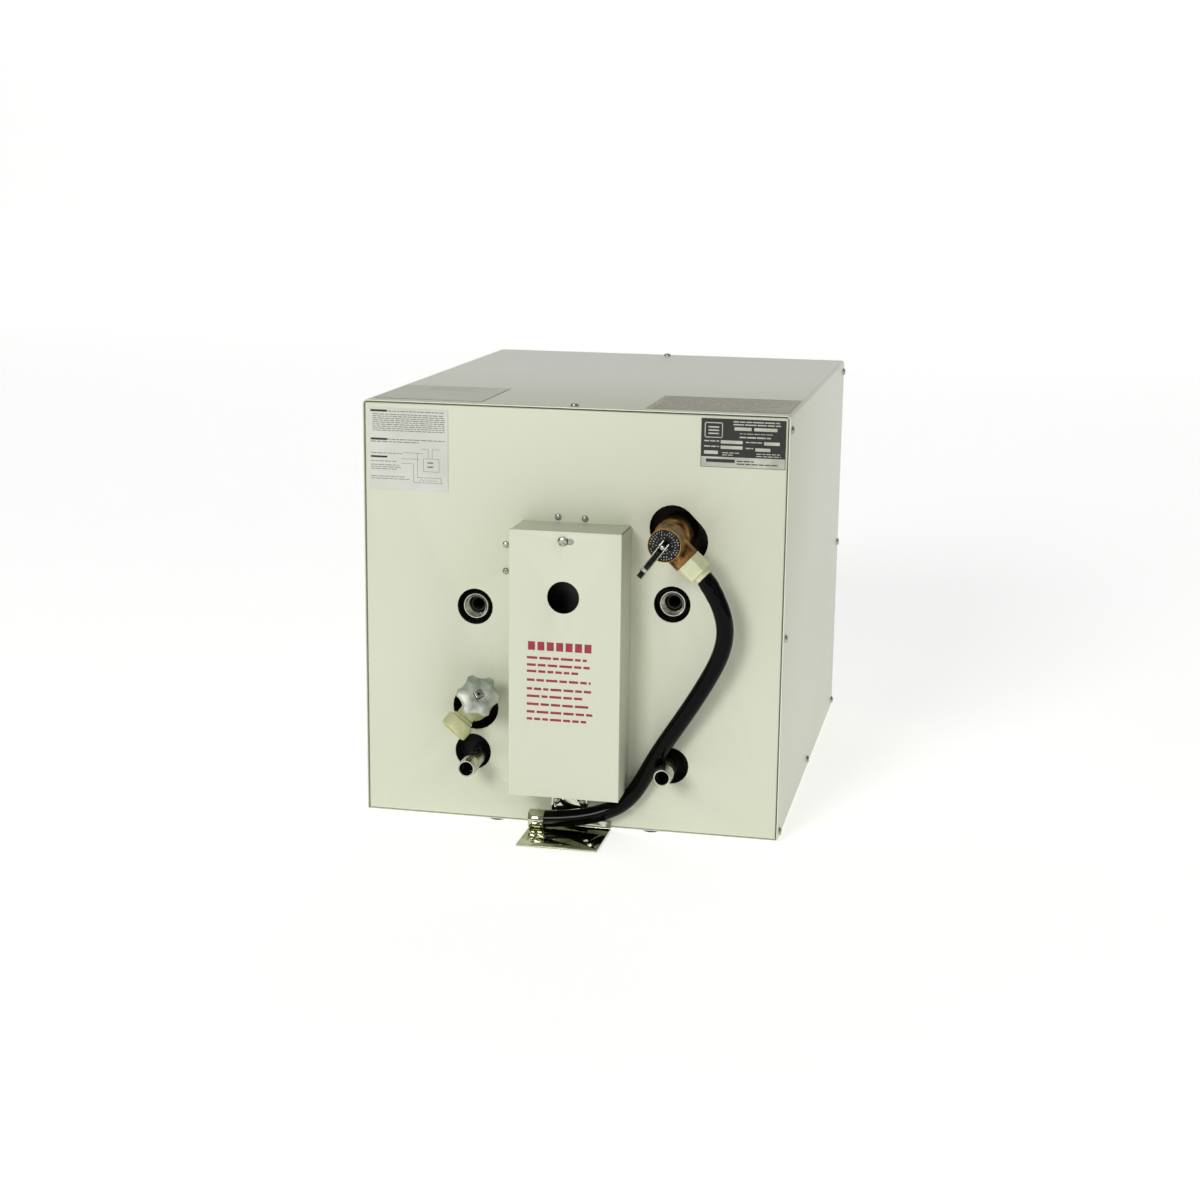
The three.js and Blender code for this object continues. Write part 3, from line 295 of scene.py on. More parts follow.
# Nylon gone grey-brown in hot water.
aged_nylon = finish("aged_nylon", "#1f1c17", "#2f2b24", 10, (0.5, 0.6), 1.4, 0.02, **{"IOR": 1.53})
# Zinc-plated steel: a cool grey with a slight bloom.
zinc_plate = finish(
    "zinc_plated_steel", "#868a7e", "#c2c6b8", 5, (0.2, 0.32), 0.6, 0.008, **{"Metallic": 1.0},
)
# The same plating, dulled and painted dark: painted shade on the lever's recessed web. It also
# dresses the relief stem.
dark_steel_painted_shade = finish(
    "steel_dark_painted_shade", "#12150f", "#30362a", 3, (0.3, 0.42), 0.6, 0.02, **{"Metallic": 1.0},
)
# Polished stainless strip: mirror-like, with a few smears about 20 mm across.
polished = finish(
    "polished_stainless", "#b7b89f", "#cfd0ba", 22, (0.04, 0.08), 9, 0.002, **{"Metallic": 1.0},
)
# Sand-cast bronze: brown with brassy patches and a sandy grain about 1 mm across.
bronze = finish(
    "sand_cast_bronze", "#4c2d17", "#b88d52", 8, (0.3, 0.5), 1.1, 0.18, **{"Metallic": 1.0},
)
# Turned brass: where the casting is machined.
brass = finish("turned_brass", "#8f6a2c", "#c8a463", 6, (0.2, 0.32), 0.5, 0.01, **{"Metallic": 1.0})
# Copper pipe, drawn.
copper = finish(
    "drawn_copper", "#8a4a2a", "#b9744a", 18, (0.25, 0.4), 1.0, 0.01, **{"Metallic": 1.0},
)
# Zinc die casting with a satin tumbled skin.
grey_casting = finish(
    "satin_zinc_casting", "#8b9283", "#ccd2c2", 11, (0.34, 0.46), 0.9, 0.02, **{"Metallic": 0.35},
)
# Nylon, moulded: milky, light passes a few millimetres into it.
white_nylon = finish(
    "white_nylon", "#ccd0a6", "#dadcb8", 9, (0.38, 0.48), 1.4, 0.02,
    **{
        "IOR": 1.53, "Subsurface Weight": 0.5, "Subsurface Radius": (0.004, 0.004, 0.002),
        "Subsurface Scale": 1.0,
    },
)
# The same nylon without filler: yellower, and some light goes straight through.
clear_nylon = finish(
    "clear_nylon", "#ccd096", "#e2e4ba", 10, (0.3, 0.42), 1.4, 0.02,
    **{
        "IOR": 1.53, "Transmission Weight": 0.3, "Subsurface Weight": 0.5,
        "Subsurface Radius": (0.006, 0.006, 0.002), "Subsurface Scale": 1.0,
    },
)
# EPDM hose, extruded: black with a wet-looking skin.
hose_rubber = finish(
    "extruded_rubber", "#010201", "#030303", 25, (0.07, 0.1), 3, 0.002, **{"IOR": 1.2},
)
# Moulded rubber: dull black.
soft_rubber = finish(
    "moulded_rubber", "#0b0b0b", "#171717", 8, (0.5, 0.65), 1.2, 0.02, **{"IOR": 1.52},
)
# Phenolic moulding: hard, black, half gloss.
black_plastic = finish(
    "phenolic_moulding", "#0c0c0d", "#19191b", 10, (0.3, 0.42), 1.0, 0.01, **{"IOR": 1.6},
)
# Reset button: a red moulding, smooth and half gloss.
red_plastic = finish(
    "red_moulding", "#5c100e", "#741714", 6, (0.3, 0.4), 1.0, 0.01, **{"IOR": 1.53},
)
# Wire sheaths: extruded PVC, smooth with a soft shine.
black_sheath = finish(
    "black_wire_sheath", "#0d0d0d", "#181818", 5, (0.35, 0.45), 1.0, 0.01, **{"IOR": 1.53},
)
white_sheath = finish(
    "white_wire_sheath", "#cfcfc4", "#dededa", 5, (0.35, 0.45), 1.0, 0.01, **{"IOR": 1.53},
)
# Earth screw: zinc plating dyed green.
green_dip = finish(
    "green_dyed_zinc", "#1d5a2c", "#2f7a40", 4, (0.25, 0.4), 0.8, 0.01, **{"Metallic": 0.7},
)
# Painted disc on the relief valve: black, rubbed, with metal showing through in specks.
rubbed_black = finish(
    "rubbed_black_paint", "#060506", "#1d191b", 1.6, (0.35, 0.55), 0.7, 0.05, detail=6,
    **{"IOR": 1.33},
)


def dress(material, *names):
    """Gives CAD nodes that stay in view their material."""
    for name in names:
        mesh = nodes[name].data
        mesh.materials.clear()
        mesh.materials.append(material)


dress(foam, "insulation_lower", "insulation_upper")
dress(
    stained_steel, "tank_barrel", "tank_front_head", "tank_rear_head", "relief_socket",
    "drain_socket", "element_socket",
)
dress(aged_nylon, "cold_dip_tube", "hot_pickup_tube")
dress(copper, "heat_exchanger_tube", "temperature_probe")
dress(zinc_plate, "heating_element", "relief_spring", "thermostat_clip", "cover_bracket")
dress(soft_rubber, "element_gasket", "drain_washer")
dress(bronze, "element_head", "drain_jumper")
dress(dark_steel_painted_shade, "relief_stem")
dress(black_plastic, "thermostat")
dress(red_plastic, "reset_button")
dress(black_sheath, "wire_line")
dress(white_sheath, "wire_neutral")
dress(green_dip, "ground_screw")
dress(enamel, "base_pan", "rear_panel")

# ---- Discharge hose
HOSE_ROUTE = [
    (134.9, -35, 262.6), (138.4, -35, 259.1), (145.9, -34.5, 246), (155, -33, 227.2),
    (156.8, -31, 209.7), (153.7, -29, 191.9), (145.4, -27, 173.7), (133.9, -25, 152.8),
    (120, -22, 129.2), (102.8, -19, 102.8), (86.9, -14.5, 78.6), (75.2, -12, 52.8),
    (63.2, -10, 31.2), (43.6, -10.8, 20.2), (23.9, -12.8, 14.6), (2.1, -14.8, 11),
    (-20, -16, 9.4), (-35, -16, 9.2),
]
HOSE_R = 8.25
HOSE_BORE = 5.2
HOSE_SWELLS = ((0.6, 9, 5), (0.35, 19, 4))  # rise, distance from the end, spread
EVENINGS = 60  # times that the route's bends are evened out
END_REACH = 0.0095  # a cut end's edges lie within this of its centre


def smooth_route(points, per_span=8):
    """Points close together on a centripetal Catmull-Rom curve through the given ones."""
    points = [2 * points[0] - points[1], *points, 2 * points[-1] - points[-2]]
    made = []
    for a, b, c, d in zip(points, points[1:], points[2:], points[3:]):
        ta, tb = 0.0, (b - a).length ** 0.5
        tc = tb + (c - b).length ** 0.5
        td = tc + (d - c).length ** 0.5
        for i in range(per_span):
            t = tb + (tc - tb) * i / per_span
            ab = a * ((tb - t) / (tb - ta)) + b * ((t - ta) / (tb - ta))
            bc = b * ((tc - t) / (tc - tb)) + c * ((t - tb) / (tc - tb))
            cd = c * ((td - t) / (td - tc)) + d * ((t - tc) / (td - tc))
            abc = ab * ((tc - t) / (tc - ta)) + bc * ((t - ta) / (tc - ta))
            bcd = bc * ((td - t) / (td - tb)) + cd * ((t - tb) / (td - tb))
            made.append(abc * ((tc - t) / (tc - tb)) + bcd * ((t - tb) / (tc - tb)))
    return made + [points[-2]]


def swept(route, radii, sides=32):
    """A round skin along a route, open at both ends: one ring, extruded and turned along it."""
    bm = bmesh.new()
    steps = len(route)
    heading = (route[1] - route[0]).normalized()
    place = facing(route[0], heading, (0, -1, 0))
    made = bmesh.ops.create_circle(bm, segments=sides, radius=radii[0], matrix=place)
    loop = made["verts"]
    edges = list({e for v in loop for e in v.link_edges})
    for i in range(1, steps):
        ahead = (route[min(i + 1, steps - 1)] - route[i - 1]).normalized()
        new = bmesh.ops.extrude_edge_only(bm, edges=edges)["geom"]
        loop = [g for g in new if isinstance(g, bmesh.types.BMVert)]
        edges = [g for g in new if isinstance(g, bmesh.types.BMEdge)]
        swing = heading.rotation_difference(ahead).to_matrix()
        scale = radii[i] / radii[i - 1]
        for v in loop:
            v.co = route[i] + swing @ (v.co - route[i - 1]) * scale
        heading = ahead
    return bm


hose_points = smooth_route([at(*p) for p in HOSE_ROUTE])
for _ in range(EVENINGS):
    hose_points[2:-2] = [
        (a + b + c) / 3 for a, b, c in zip(hose_points[1:], hose_points[2:-2], hose_points[3:])
    ]


def hose_radius(distance):
    """The hose swells over the barb that it is pushed on, and is plain from there."""
    swell = sum(
        rise * math.exp(-((distance / MM - middle) / spread) ** 2)
        for rise, middle, spread in HOSE_SWELLS
    )
    return (HOSE_R + swell) * MM


walked, hose_radii = 0.0, []
for a, b in zip([hose_points[0], *hose_points], hose_points):
    walked += (b - a).length
    hose_radii.append(hose_radius(walked))
outer = swept(hose_points, hose_radii)
inner = swept(hose_points, [HOSE_BORE * MM] * len(hose_points))
bmesh.ops.reverse_faces(inner, faces=inner.faces)
hose_bm = merged([outer, inner])
open_edges = [e for e in hose_bm.edges if e.is_boundary]
for end in (hose_points[0], hose_points[-1]):
    ring = [e for e in open_edges if (e.verts[0].co - end).length < END_REACH]
    bmesh.ops.bridge_loops(hose_bm, edges=ring)
bmesh.ops.recalc_face_normals(hose_bm, faces=hose_bm.faces)
hose = add_piece(
    "hose", hose_bm, hose_rubber, stands_for=["discharge_hose"], sharp=50,
)

# ---- Casing: folded sheet, with its cut edge at the front
def refined(
    name, node, material, radius, body="casing", angle=30, segments=2, where=None,
    sharp=35,
):
    """A node's own shape with its edges rounded."""
    bm = soften(from_node(node), radius, angle, segments, where)
    return add_piece(name, bm, material, body, [node], sharp)


CUT_EDGE = 0.3  # rounding of a sheet's cut edges
EDGE_DEPTH = 0.0004  # faces this near to the casing's ends are its cut edges

wrap = from_node("casing_wrap")
soften(wrap, CUT_EDGE, 60)
front_y, rear_y = CASE_LOW.y, CASE_HIGH.y
# Faces on the casing's front and rear cut edges get the lighter coat, a painted highlight.
for face in wrap.faces:
    middle = face.calc_center_median()
    at_edge = min(middle.y - front_y, rear_y - middle.y) < EDGE_DEPTH
    face.material_index = 1 if at_edge else 0
add_piece(
    "casing_sheet", wrap, [enamel, enamel_edge_highlight], stands_for=["casing_wrap"],
)


def on_rim(edge):
    """True on the outer fold of a panel, where its face turns back."""
    low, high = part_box("front_panel")
    middle = (edge.verts[0].co + edge.verts[1].co) / 2
    near_side = min(middle.x - low.x, high.x - middle.x, middle.z - low.z, high.z - middle.z)
    return near_side < 1e-5 and middle.y < low.y + 1e-4


panel = from_node("front_panel")
PANEL_FOLD = 1.6
PANEL_FACE_DEPTH = 0.0021  # edges this near to the casing's front belong to the panel's face
soften(panel, PANEL_FOLD, 30, 4, on_rim)
soften(
    panel, CUT_EDGE, 60, 2,
    lambda e: (e.verts[0].co.y + e.verts[1].co.y) / 2 < front_y + PANEL_FACE_DEPTH,
)
add_piece("front_sheet", panel, enamel, stands_for=["front_panel"])

# ---- Access cover
COVER_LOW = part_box("access_cover")[0]
COVER_FOLD = 1.1
COVER_SHEET = 0.0012
SHORTEST_FOLD = 0.09
cover = from_node("access_cover")


def on_fold(edge):
    """True on the cover's folds round its face, outside and in."""
    ends = [v.co for v in edge.verts]
    length = (ends[0] - ends[1]).length
    return length > SHORTEST_FOLD and all(c.y < COVER_LOW.y + COVER_SHEET for c in ends)


soften(cover, COVER_FOLD, 60, 4, on_fold)
soften(cover, CUT_EDGE, 60, 2)
add_piece("cover_sheet", cover, enamel, "access_cover_body", ["access_cover"])


# ---- Screws: pan heads with a cross recess
CROSS_WIDTH = 0.42  # sine of twice the angle that an arm of the cross takes up
CASING_HEAD = (3.9, 2.6)  # radius and height
PANEL_HEAD = (3.2, 2.0)
TAB_HEAD = (3.3, 2.0)
COVER_HEAD = (4.6, 2.2)


def pan_head(place, radius=3.4, height=2.1, turned_by=0.3):
    """A pan head whose underside sits at place, with a cross cut into its crown."""
    profile = [
        (0, 0), (radius, 0), (radius, height * 0.35), (radius * 0.93, height * 0.68),
        (radius * 0.74, height * 0.9), (radius * 0.45, height * 0.985), (0, height),
    ]
    bm = turned(profile, Matrix.Identity(4), 32)
    arms = []
    for face in bm.faces:
        middle = face.calc_center_median()
        on_crown = middle.z > height * MM * 0.9
        if on_crown and abs(math.sin(2 * math.atan2(middle.y, middle.x))) < CROSS_WIDTH:
            arms.append(face)
    made = bmesh.ops.extrude_face_region(bm, geom=arms)["geom"]
    bmesh.ops.delete(bm, geom=arms, context="FACES")
    floor = [g for g in made if isinstance(g, bmesh.types.BMVert)]
    bmesh.ops.translate(bm, vec=(0, 0, -0.9 * height * MM * 0.6), verts=floor)
    bmesh.ops.transform(bm, matrix=place @ Matrix.Rotation(turned_by, 4, "Z"), verts=bm.verts)
    return bm


side_x = CASE_W / 2
side_screws = [
    (12, 397), (12, 198), (12, 6.5), (CASE_D - 12, 400), (CASE_D - 12, 200), (CASE_D - 12, 7.5),
    (250, 8.4),
]
heads = []
for i, (y, z) in enumerate(side_screws):
    for side in (-1, 1):
        heads.append(
            pan_head(
                facing(at(side * side_x, y, z), (side, 0, 0), (0, 1, 0)), *CASING_HEAD, 0.5 + i,
            )
        )
for y in (12, CASE_D - 12):
    heads.append(pan_head(facing(at(0, y, CASE_H), (0, 0, 1)), *CASING_HEAD, y))
add_piece("casing_screws", merged(heads), zinc_plate, sharp=30)

panel_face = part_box("front_panel")[0].y
panel_y = (panel_face - front_y) / MM
heads = []
for i, (x, z) in enumerate([(-12.6, 306.5), (13.7, 306), (-64, 277), (-64, 251)]):
    heads.append(pan_head(facing(at(x, panel_y, z), (0, -1, 0)), *PANEL_HEAD, 0.4 + i))
tab_face = (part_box("front_bracket")[1].y - front_y) / MM - 2
for i, x in enumerate((-11.6, 14.4)):
    heads.append(pan_head(facing(at(x, tab_face, 24), (0, -1, 0)), *TAB_HEAD, 1.1 + i))
add_piece("panel_screws", merged(heads), zinc_plate, sharp=30)

# The cover's own screw, in its slot.
SCREW_LOW, SCREW_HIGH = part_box("cover_screw")
screw_x, screw_z = (SCREW_LOW.x + SCREW_HIGH.x) / 2, (SCREW_LOW.z + SCREW_HIGH.z) / 2
head_under = COVER_LOW.y - 0.0003
head = pan_head(facing((screw_x, head_under, screw_z), (0, -1, 0)), *COVER_HEAD, 0.9)
SHANK_R, SHANK_ROOT_R, SHANK_TURNS = 2.2, 1.75, 8
shank_profile = [(0, 0), (SHANK_R, 0)]
for i in range(SHANK_TURNS):
    shank_profile += [(SHANK_R, 0.6 + i), (SHANK_ROOT_R, 1.1 + i)]
shank_profile += [(0, 8.6)]
shank = turned(shank_profile, facing((screw_x, head_under, screw_z), (0, 1, 0)), 20)
add_piece(
    "cover_screw_turned", merged([head, shank]), zinc_plate, "access_cover_body", ["cover_screw"],
    30,
)

# ---- Ports: half inch couplings with a pipe thread turned inside
def coupling(name, node):
    """A water coupling in its node's place, from its bore and its thread's pitch."""
    low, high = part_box(node)
    centre = Vector(((low.x + high.x) / 2, low.y, (low.z + high.z) / 2))
    deep = (high.y - low.y) / MM
    outer_r = (high.x - low.x) / 2 / MM
    bore = 9.3
    pitch = 1.81
    profile = [
        (bore + 0.2, -deep), (outer_r - 0.8, -deep), (outer_r, -deep + 0.8), (outer_r, -1.4),
        (outer_r - 1.4, 0), (bore + 2.0, 0), (bore + 0.9, -1.5),
    ]
    turns = int((deep - 3) / pitch)
    for i in range(turns):
        top = -1.7 - i * pitch
        profile += [(bore - 0.35, top - 0.35 * pitch), (bore + 0.65, top - 0.85 * pitch)]
    place = facing(centre, (0, -1, 0))
    add_piece(
        name, turned(profile, place, 56, True), stainless, stands_for=[node],
        sharp=24,
    )


coupling("cold_coupling_threaded", "cold_inlet_coupling")
coupling("hot_coupling_threaded", "hot_outlet_coupling")


# ---- Hose barbs of the heat exchanger
def barb(name, node):
    """A hose barb with two ridges, in its node's place."""
    low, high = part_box(node)
    centre = Vector(((low.x + high.x) / 2, low.y, (low.z + high.z) / 2))
    long = (high.y - low.y) / MM
    profile = [
        (6.9, 0), (7.9, 0), (8.2, -0.4), (8.3, -1.2), (8.8, -6.6), (9.0, -7.4), (8.9, -8.1),
        (8.0, -8.8), (8.0, -9.6), (8.8, -14.6), (9.0, -15.4), (8.9, -16.1), (8.0, -16.8),
        (7.8, -18), (7.8, 19 - long), (9.0, 12 - long), (9.0, -long), (6.15, -long),
        (6.15, 21 - long), (6.9, 22 - long),
    ]
    place = facing(centre, (0, -1, 0))
    add_piece(
        name, turned(profile, place, 56, True), stainless, stands_for=[node],
        sharp=28,
    )


barb("left_barb_turned", "exchanger_barb_left")
barb("right_barb_turned", "exchanger_barb_right")

# ---- Relief valve
relief_place = facing(at(100.52, 0, 295.0), (0, -1, 0))


def cast(name, node, material, body, grain=0.55, smoothing=3):
    """A casting: the node's shape with every junction filled to a small fillet."""
    bm = from_node(node)
    bmesh.ops.triangulate(bm, faces=bm.faces)
    piece = add_piece(name, bm, material, body, [node], 60)
    grid = piece.modifiers.new("grid", "REMESH")
    grid.mode = "VOXEL"
    grid.voxel_size = grain * MM
    grid.use_smooth_shade = True
    even = piece.modifiers.new("fillets", "SMOOTH")
    even.iterations = smoothing
    even.factor = 0.5
    return piece


cast("relief_casting", "relief_body", bronze, "casing")
rim = [(14.8, 53.2), (15.65, 53.2), (15.65, 55.7), (15.4, 56.0), (15.05, 56.0), (14.8, 55.6)]
add_piece("relief_rim", turned(rim, relief_place, 64, True), brass)
disc = [
    (2.7, 53.0), (14.5, 53.0), (14.5, 55.2), (14.2, 55.6), (12.1, 55.6), (11.9, 55.85),
    (8.9, 55.85), (8.7, 55.5), (6.4, 55.5), (6.1, 55.9), (3.2, 55.9), (2.7, 55.5),
]
add_piece(
    "relief_disc", turned(disc, relief_place, 64, True), rubbed_black, stands_for=["relief_cap"],
)
# Scuffs in three rings round the disc, where the paint is rubbed through.
marks = bmesh.new()
scuffs = random.Random(3)
for ring_r, count, long in ((13.1, 34, 0.7), (10.5, 26, 0.8), (7.5, 16, 0.6)):
    for i in range(count):
        if scuffs.random() < 0.25:
            continue
        half = 0.2 + 0.15 * scuffs.random()
        made = block(marks, (-half * MM, -long * MM, 55.3 * MM), (half * MM, long * MM, 55.93 * MM))
        swing = Matrix.Rotation(scuffs.uniform(-0.6, 0.6), 4, "Z")
        round_disc = Matrix.Rotation(2 * math.pi * i / count, 4, "Z")
        spot = round_disc @ Matrix.Translation((0, ring_r * MM, 0)) @ swing
        bmesh.ops.transform(marks, matrix=relief_place @ spot, verts=made)
add_piece("relief_disc_marks", marks, zinc_plate)

# The lever is a pressed channel whose sides go on as a fork past the pin, with a ribbed web painted
# dark as painted shade.
LEVER_BACK, LEVER_TIP = -6.5, 36.5  # along the lever, from the pin
CHEEK_NEAR, CHEEK_FAR = 2.5, 3.5
RIB_WIDTH = 0.7
pin_low, pin_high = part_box("lever_pin")
pin = (pin_low + pin_high) / 2
LEVER_ANGLE = math.radians(233.1)
lever_place = facing(pin, (0, -1, 0), (math.cos(LEVER_ANGLE), 0, math.sin(LEVER_ANGLE)))
lever = bmesh.new()
for side in (-1, 1):
    near, far = sorted((side * CHEEK_NEAR, side * CHEEK_FAR))
    block(lever, (LEVER_BACK * MM, near * MM, -3 * MM), (LEVER_TIP * MM, far * MM, 5.0 * MM))
block(lever, (25.6 * MM, -2.6 * MM, 2.9 * MM), (29.2 * MM, 2.6 * MM, 3.9 * MM))
soften(lever, 0.28, 60, 2)
web = block(lever, (5.6 * MM, -2.6 * MM, 2.4 * MM), (25.8 * MM, 2.6 * MM, 3.5 * MM))
web += block(lever, (29.0 * MM, -2.6 * MM, 2.4 * MM), (36.1 * MM, 2.6 * MM, 3.5 * MM))
for x in [7.2 + 1.85 * i for i in range(10)] + [30.4 + 1.6 * i for i in range(3)]:
    web += block(lever, (x * MM, -1.8 * MM, 3.3 * MM), ((x + RIB_WIDTH) * MM, 1.8 * MM, 3.8 * MM))
# The web and its ribs take the dark steel, painted shade for the recess between the channel's
# sides.
for face in {f for v in web for f in v.link_faces}:
    face.material_index = 1
bmesh.ops.transform(lever, matrix=lever_place, verts=lever.verts)
add_piece(
    "lever_channel", lever, [zinc_plate, dark_steel_painted_shade], "relief_lever_body", ["relief_lever"],
    30,
)
pin_place = facing(pin, Matrix.Rotation(LEVER_ANGLE, 3, (0, -1, 0)) @ Vector((0, 0, 1)), (0, -1, 0))
rivet = [
    (0, -4.7), (1.5, -4.7), (1.9, -4.3), (1.9, -3.8), (1.3, -3.75), (1.3, 3.75), (1.9, 3.8),
    (1.9, 4.3), (1.5, 4.7), (0, 4.7),
]
add_piece(
    "lever_rivet", turned(rivet, pin_place, 28), zinc_plate, "relief_lever_body", ["lever_pin"],
    30,
)
# The stem's riveted end, a bright dome between the fork's sides.
dome = [(0, 3.0), (2.2, 3.0), (2.25, 3.9), (2.0, 4.5), (1.4, 4.9), (0.8, 5.0), (0.6, 4.7), (0, 4.6)]
dome_place = facing(pin, (0, -1, 0))
add_piece(
    "stem_end", turned(dome, dome_place, 28), stainless, "relief_stem_body",
    sharp=30,
)

# White nylon adapter on the outlet, with a hexagon and a plain neck.
adapter = soften(from_node("outlet_adapter"), 0.7, 28, 3)
add_piece(
    "adapter_moulding", adapter, white_nylon, stands_for=["outlet_adapter"],
)

# ---- Hose end strap and brackets
strap = from_node("hose_strap")
add_piece(
    "strap_ring", soften(strap, 0.25, 60, 2), polished, stands_for=["hose_strap"],
    sharp=30,
)

for name, node in (
    ("front_bracket_strip", "front_bracket"), ("rear_bracket_strip", "rear_bracket")
):
    bracket = from_node(node)
    soften(bracket, 0.35, 60, 2)
    add_piece(name, bracket, polished, stands_for=[node], sharp=30)

# ---- Drain valve, along its spindle
DRAIN_OUT = Vector((0.295, -0.819, 0.492)).normalized()
DRAIN_OUTLET = Vector((-0.543, -0.468, -0.698)).normalized()
drain_origin = at(-94.1, -1.5, 113.54)
drain_place = facing(drain_origin, DRAIN_OUT)
cup_place = facing(drain_origin + DRAIN_OUT * 14 * MM, DRAIN_OUTLET)

cast("drain_moulding", "drain_body", clear_nylon, "casing", 0.5, 2)
refined("drain_bonnet_turned", "drain_bonnet", brass, 0.5, segments=3)


def lobe_radius(angle, tip=21.0, valley=17.2, scallop=15.6, lobes=6):
    """The hand wheel's outline: round tips with a hollow between each two."""
    step = 2 * math.pi / lobes
    offset = (angle - step / 2) % step
    offset = min(offset, step - offset)
    centre = valley + scallop
    inside = scallop ** 2 - (centre * math.sin(offset)) ** 2
    if inside <= 0:
        return tip
    return min(tip, centre * math.cos(offset) - math.sqrt(inside))


SQUARE_TURN = math.radians(35)
SQUARE_HALF = 17.6  # half the side of the wheel's square recess, before its share
ROUND_R = 19.0
wheel = bmesh.new()
loop = bmesh.ops.create_circle(wheel, segments=144, radius=10 * MM)["verts"]
edges = list({e for v in loop for e in v.link_edges})
rings = [  # height, share of the outline, how round it is, how square it is
    (42.6, 0.25, 0, 1), (42.6, 0.6, 1, 0), (42.2, 0.8, 0.5, 0), (41.2, 0.94, 0, 0),
    (41.5, 0.98, 0, 0), (42.4, 1.0, 0, 0), (45.9, 1.0, 0, 0), (46.7, 0.988, 0, 0),
    (47.3, 0.96, 0, 0), (47.7, 0.91, 0, 0), (48.1, 0.84, 0.1, 0), (48.6, 0.74, 0.3, 0),
    (49.1, 0.62, 0.6, 0), (49.6, 0.5, 0.9, 0), (49.9, 0.4, 1, 0), (50.0, 0.25, 0, 1),
    (49.6, 0.23, 0, 1),
]
for i, (height, share, round_share, square_share) in enumerate(rings):
    if i:
        made = bmesh.ops.extrude_edge_only(wheel, edges=edges)["geom"]
        loop = [g for g in made if isinstance(g, bmesh.types.BMVert)]
        edges = [g for g in made if isinstance(g, bmesh.types.BMEdge)]
    for v in loop:
        way = Vector((v.co.x, v.co.y, 0)).normalized()
        angle = math.atan2(way.y, way.x)
        from_side = angle - SQUARE_TURN
        square = SQUARE_HALF / max(abs(math.cos(from_side)), abs(math.sin(from_side)))
        outline = lobe_radius(angle) * (1 - round_share) + ROUND_R * round_share
        radius = (outline * (1 - square_share) + square * square_share) * share
        v.co = way * radius * MM + Vector((0, 0, height * MM))
bmesh.ops.bridge_loops(wheel, edges=[e for e in wheel.edges if e.is_boundary])
bmesh.ops.recalc_face_normals(wheel, faces=wheel.faces)
bmesh.ops.transform(wheel, matrix=drain_place, verts=wheel.verts)
add_piece(
    "drain_wheel", wheel, grey_casting, "drain_spindle_body", ["drain_knob"], 50,
)

SPINDLE_TIP = 52.4
TIP_HALF = 3.5
spindle = turned([(0, 11), (4, 11), (4, 38.5), (3.4, 39.2), (0, 39.2)], Matrix.Identity(4), 32)
made = block(
    spindle, (-TIP_HALF * MM, -TIP_HALF * MM, 38 * MM),
    (TIP_HALF * MM, TIP_HALF * MM, SPINDLE_TIP * MM),
)
bmesh.ops.rotate(spindle, cent=(0, 0, 0), matrix=Matrix.Rotation(SQUARE_TURN, 3, "Z"), verts=made)
soften(spindle, 0.3, 60, 2, lambda e: min(v.co.z for v in e.verts) > 52.3 * MM)
bmesh.ops.transform(spindle, matrix=drain_place, verts=spindle.verts)
add_piece(
    "drain_spindle", spindle, stainless, "drain_spindle_body", ["drain_stem"], 30,
)
# The screw hole in the spindle's end is not cut: a thin black disc stands for it as painted shade.
hole = [(0, 52.44), (1.5, 52.44), (1.7, 52.5), (1.75, 52.42), (1.75, 52.3), (0, 52.3)]
add_piece(
    "spindle_hole_painted_shade", turned(hole, drain_place, 24), black_ink, "drain_spindle_body",
)

# Nylon cup on the outlet: a round collar on a narrower neck.
cup = [
    (6.0, 18.4), (10.2, 18.4), (10.8, 19.0), (11.0, 21.5), (13.6, 22.2), (14.3, 23.0), (14.5, 24.2),
    (14.3, 33.6), (14.0, 34.9), (13.4, 35.4), (12.2, 35.4), (11.6, 34.8), (11.2, 25.5),
    (10.4, 23.4), (6.0, 23.0),
]
add_piece(
    "cup_moulding", turned(cup, cup_place, 56, True), clear_nylon, stands_for=["drain_outlet_cup"],
)

# ---- Feet: rubber buttons with a shallow hollow underneath
for node in ("foot_front_left", "foot_front_right", "foot_rear_left", "foot_rear_right"):
    low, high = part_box(node)
    centre = Vector(((low.x + high.x) / 2, (low.y + high.y) / 2, low.z))
    foot = [(0, 0.5), (3.5, 0.5), (4.2, 0), (8.1, 0), (8.8, 0.4), (9.0, 1.0), (9.0, 2.2), (0, 2.2)]
    add_piece(
        node + "_button", turned(foot, facing(centre, (0, 0, 1)), 40), soft_rubber,
        stands_for=[node],
    )

# ---- Temperature dial, its own shape with the edges eased
refined(
    "dial_moulding", "temperature_dial", black_plastic, 0.3, "temperature_dial_body",
    40,
)


# ---- Labels and printing. The print is plain bars and lines, with no lettering.
INK = 0.03  # thickness of the print
HEAVY_INK = 0.05


def printed(name, bars, top, depth, material, body="casing", upward=False):
    """Thin bars of ink, each (across0, across1, up0, up1), on the front or, upward, on the top."""
    bm = bmesh.new()
    for a0, a1, b0, b1 in bars:
        if upward:
            block(bm, at(a0, b0, top), at(a1, b1, top + depth))
        else:
            block(bm, at(a0, top - depth, b0), at(a1, top, b1))
    return add_piece(name, bm, material, body)


def rows(chance, left, right_end, tops, height, word=(2.0, 6.5), gap=0.9):
    """Rows of short bars, as lines of print look from afar."""
    made = []
    for top, end in tops:
        x = left
        while x < min(end, right_end) - 1:
            w = min(chance.uniform(*word), min(end, right_end) - x)
            made.append((x, x + w, top - height, top))
            x += w + gap
    return made


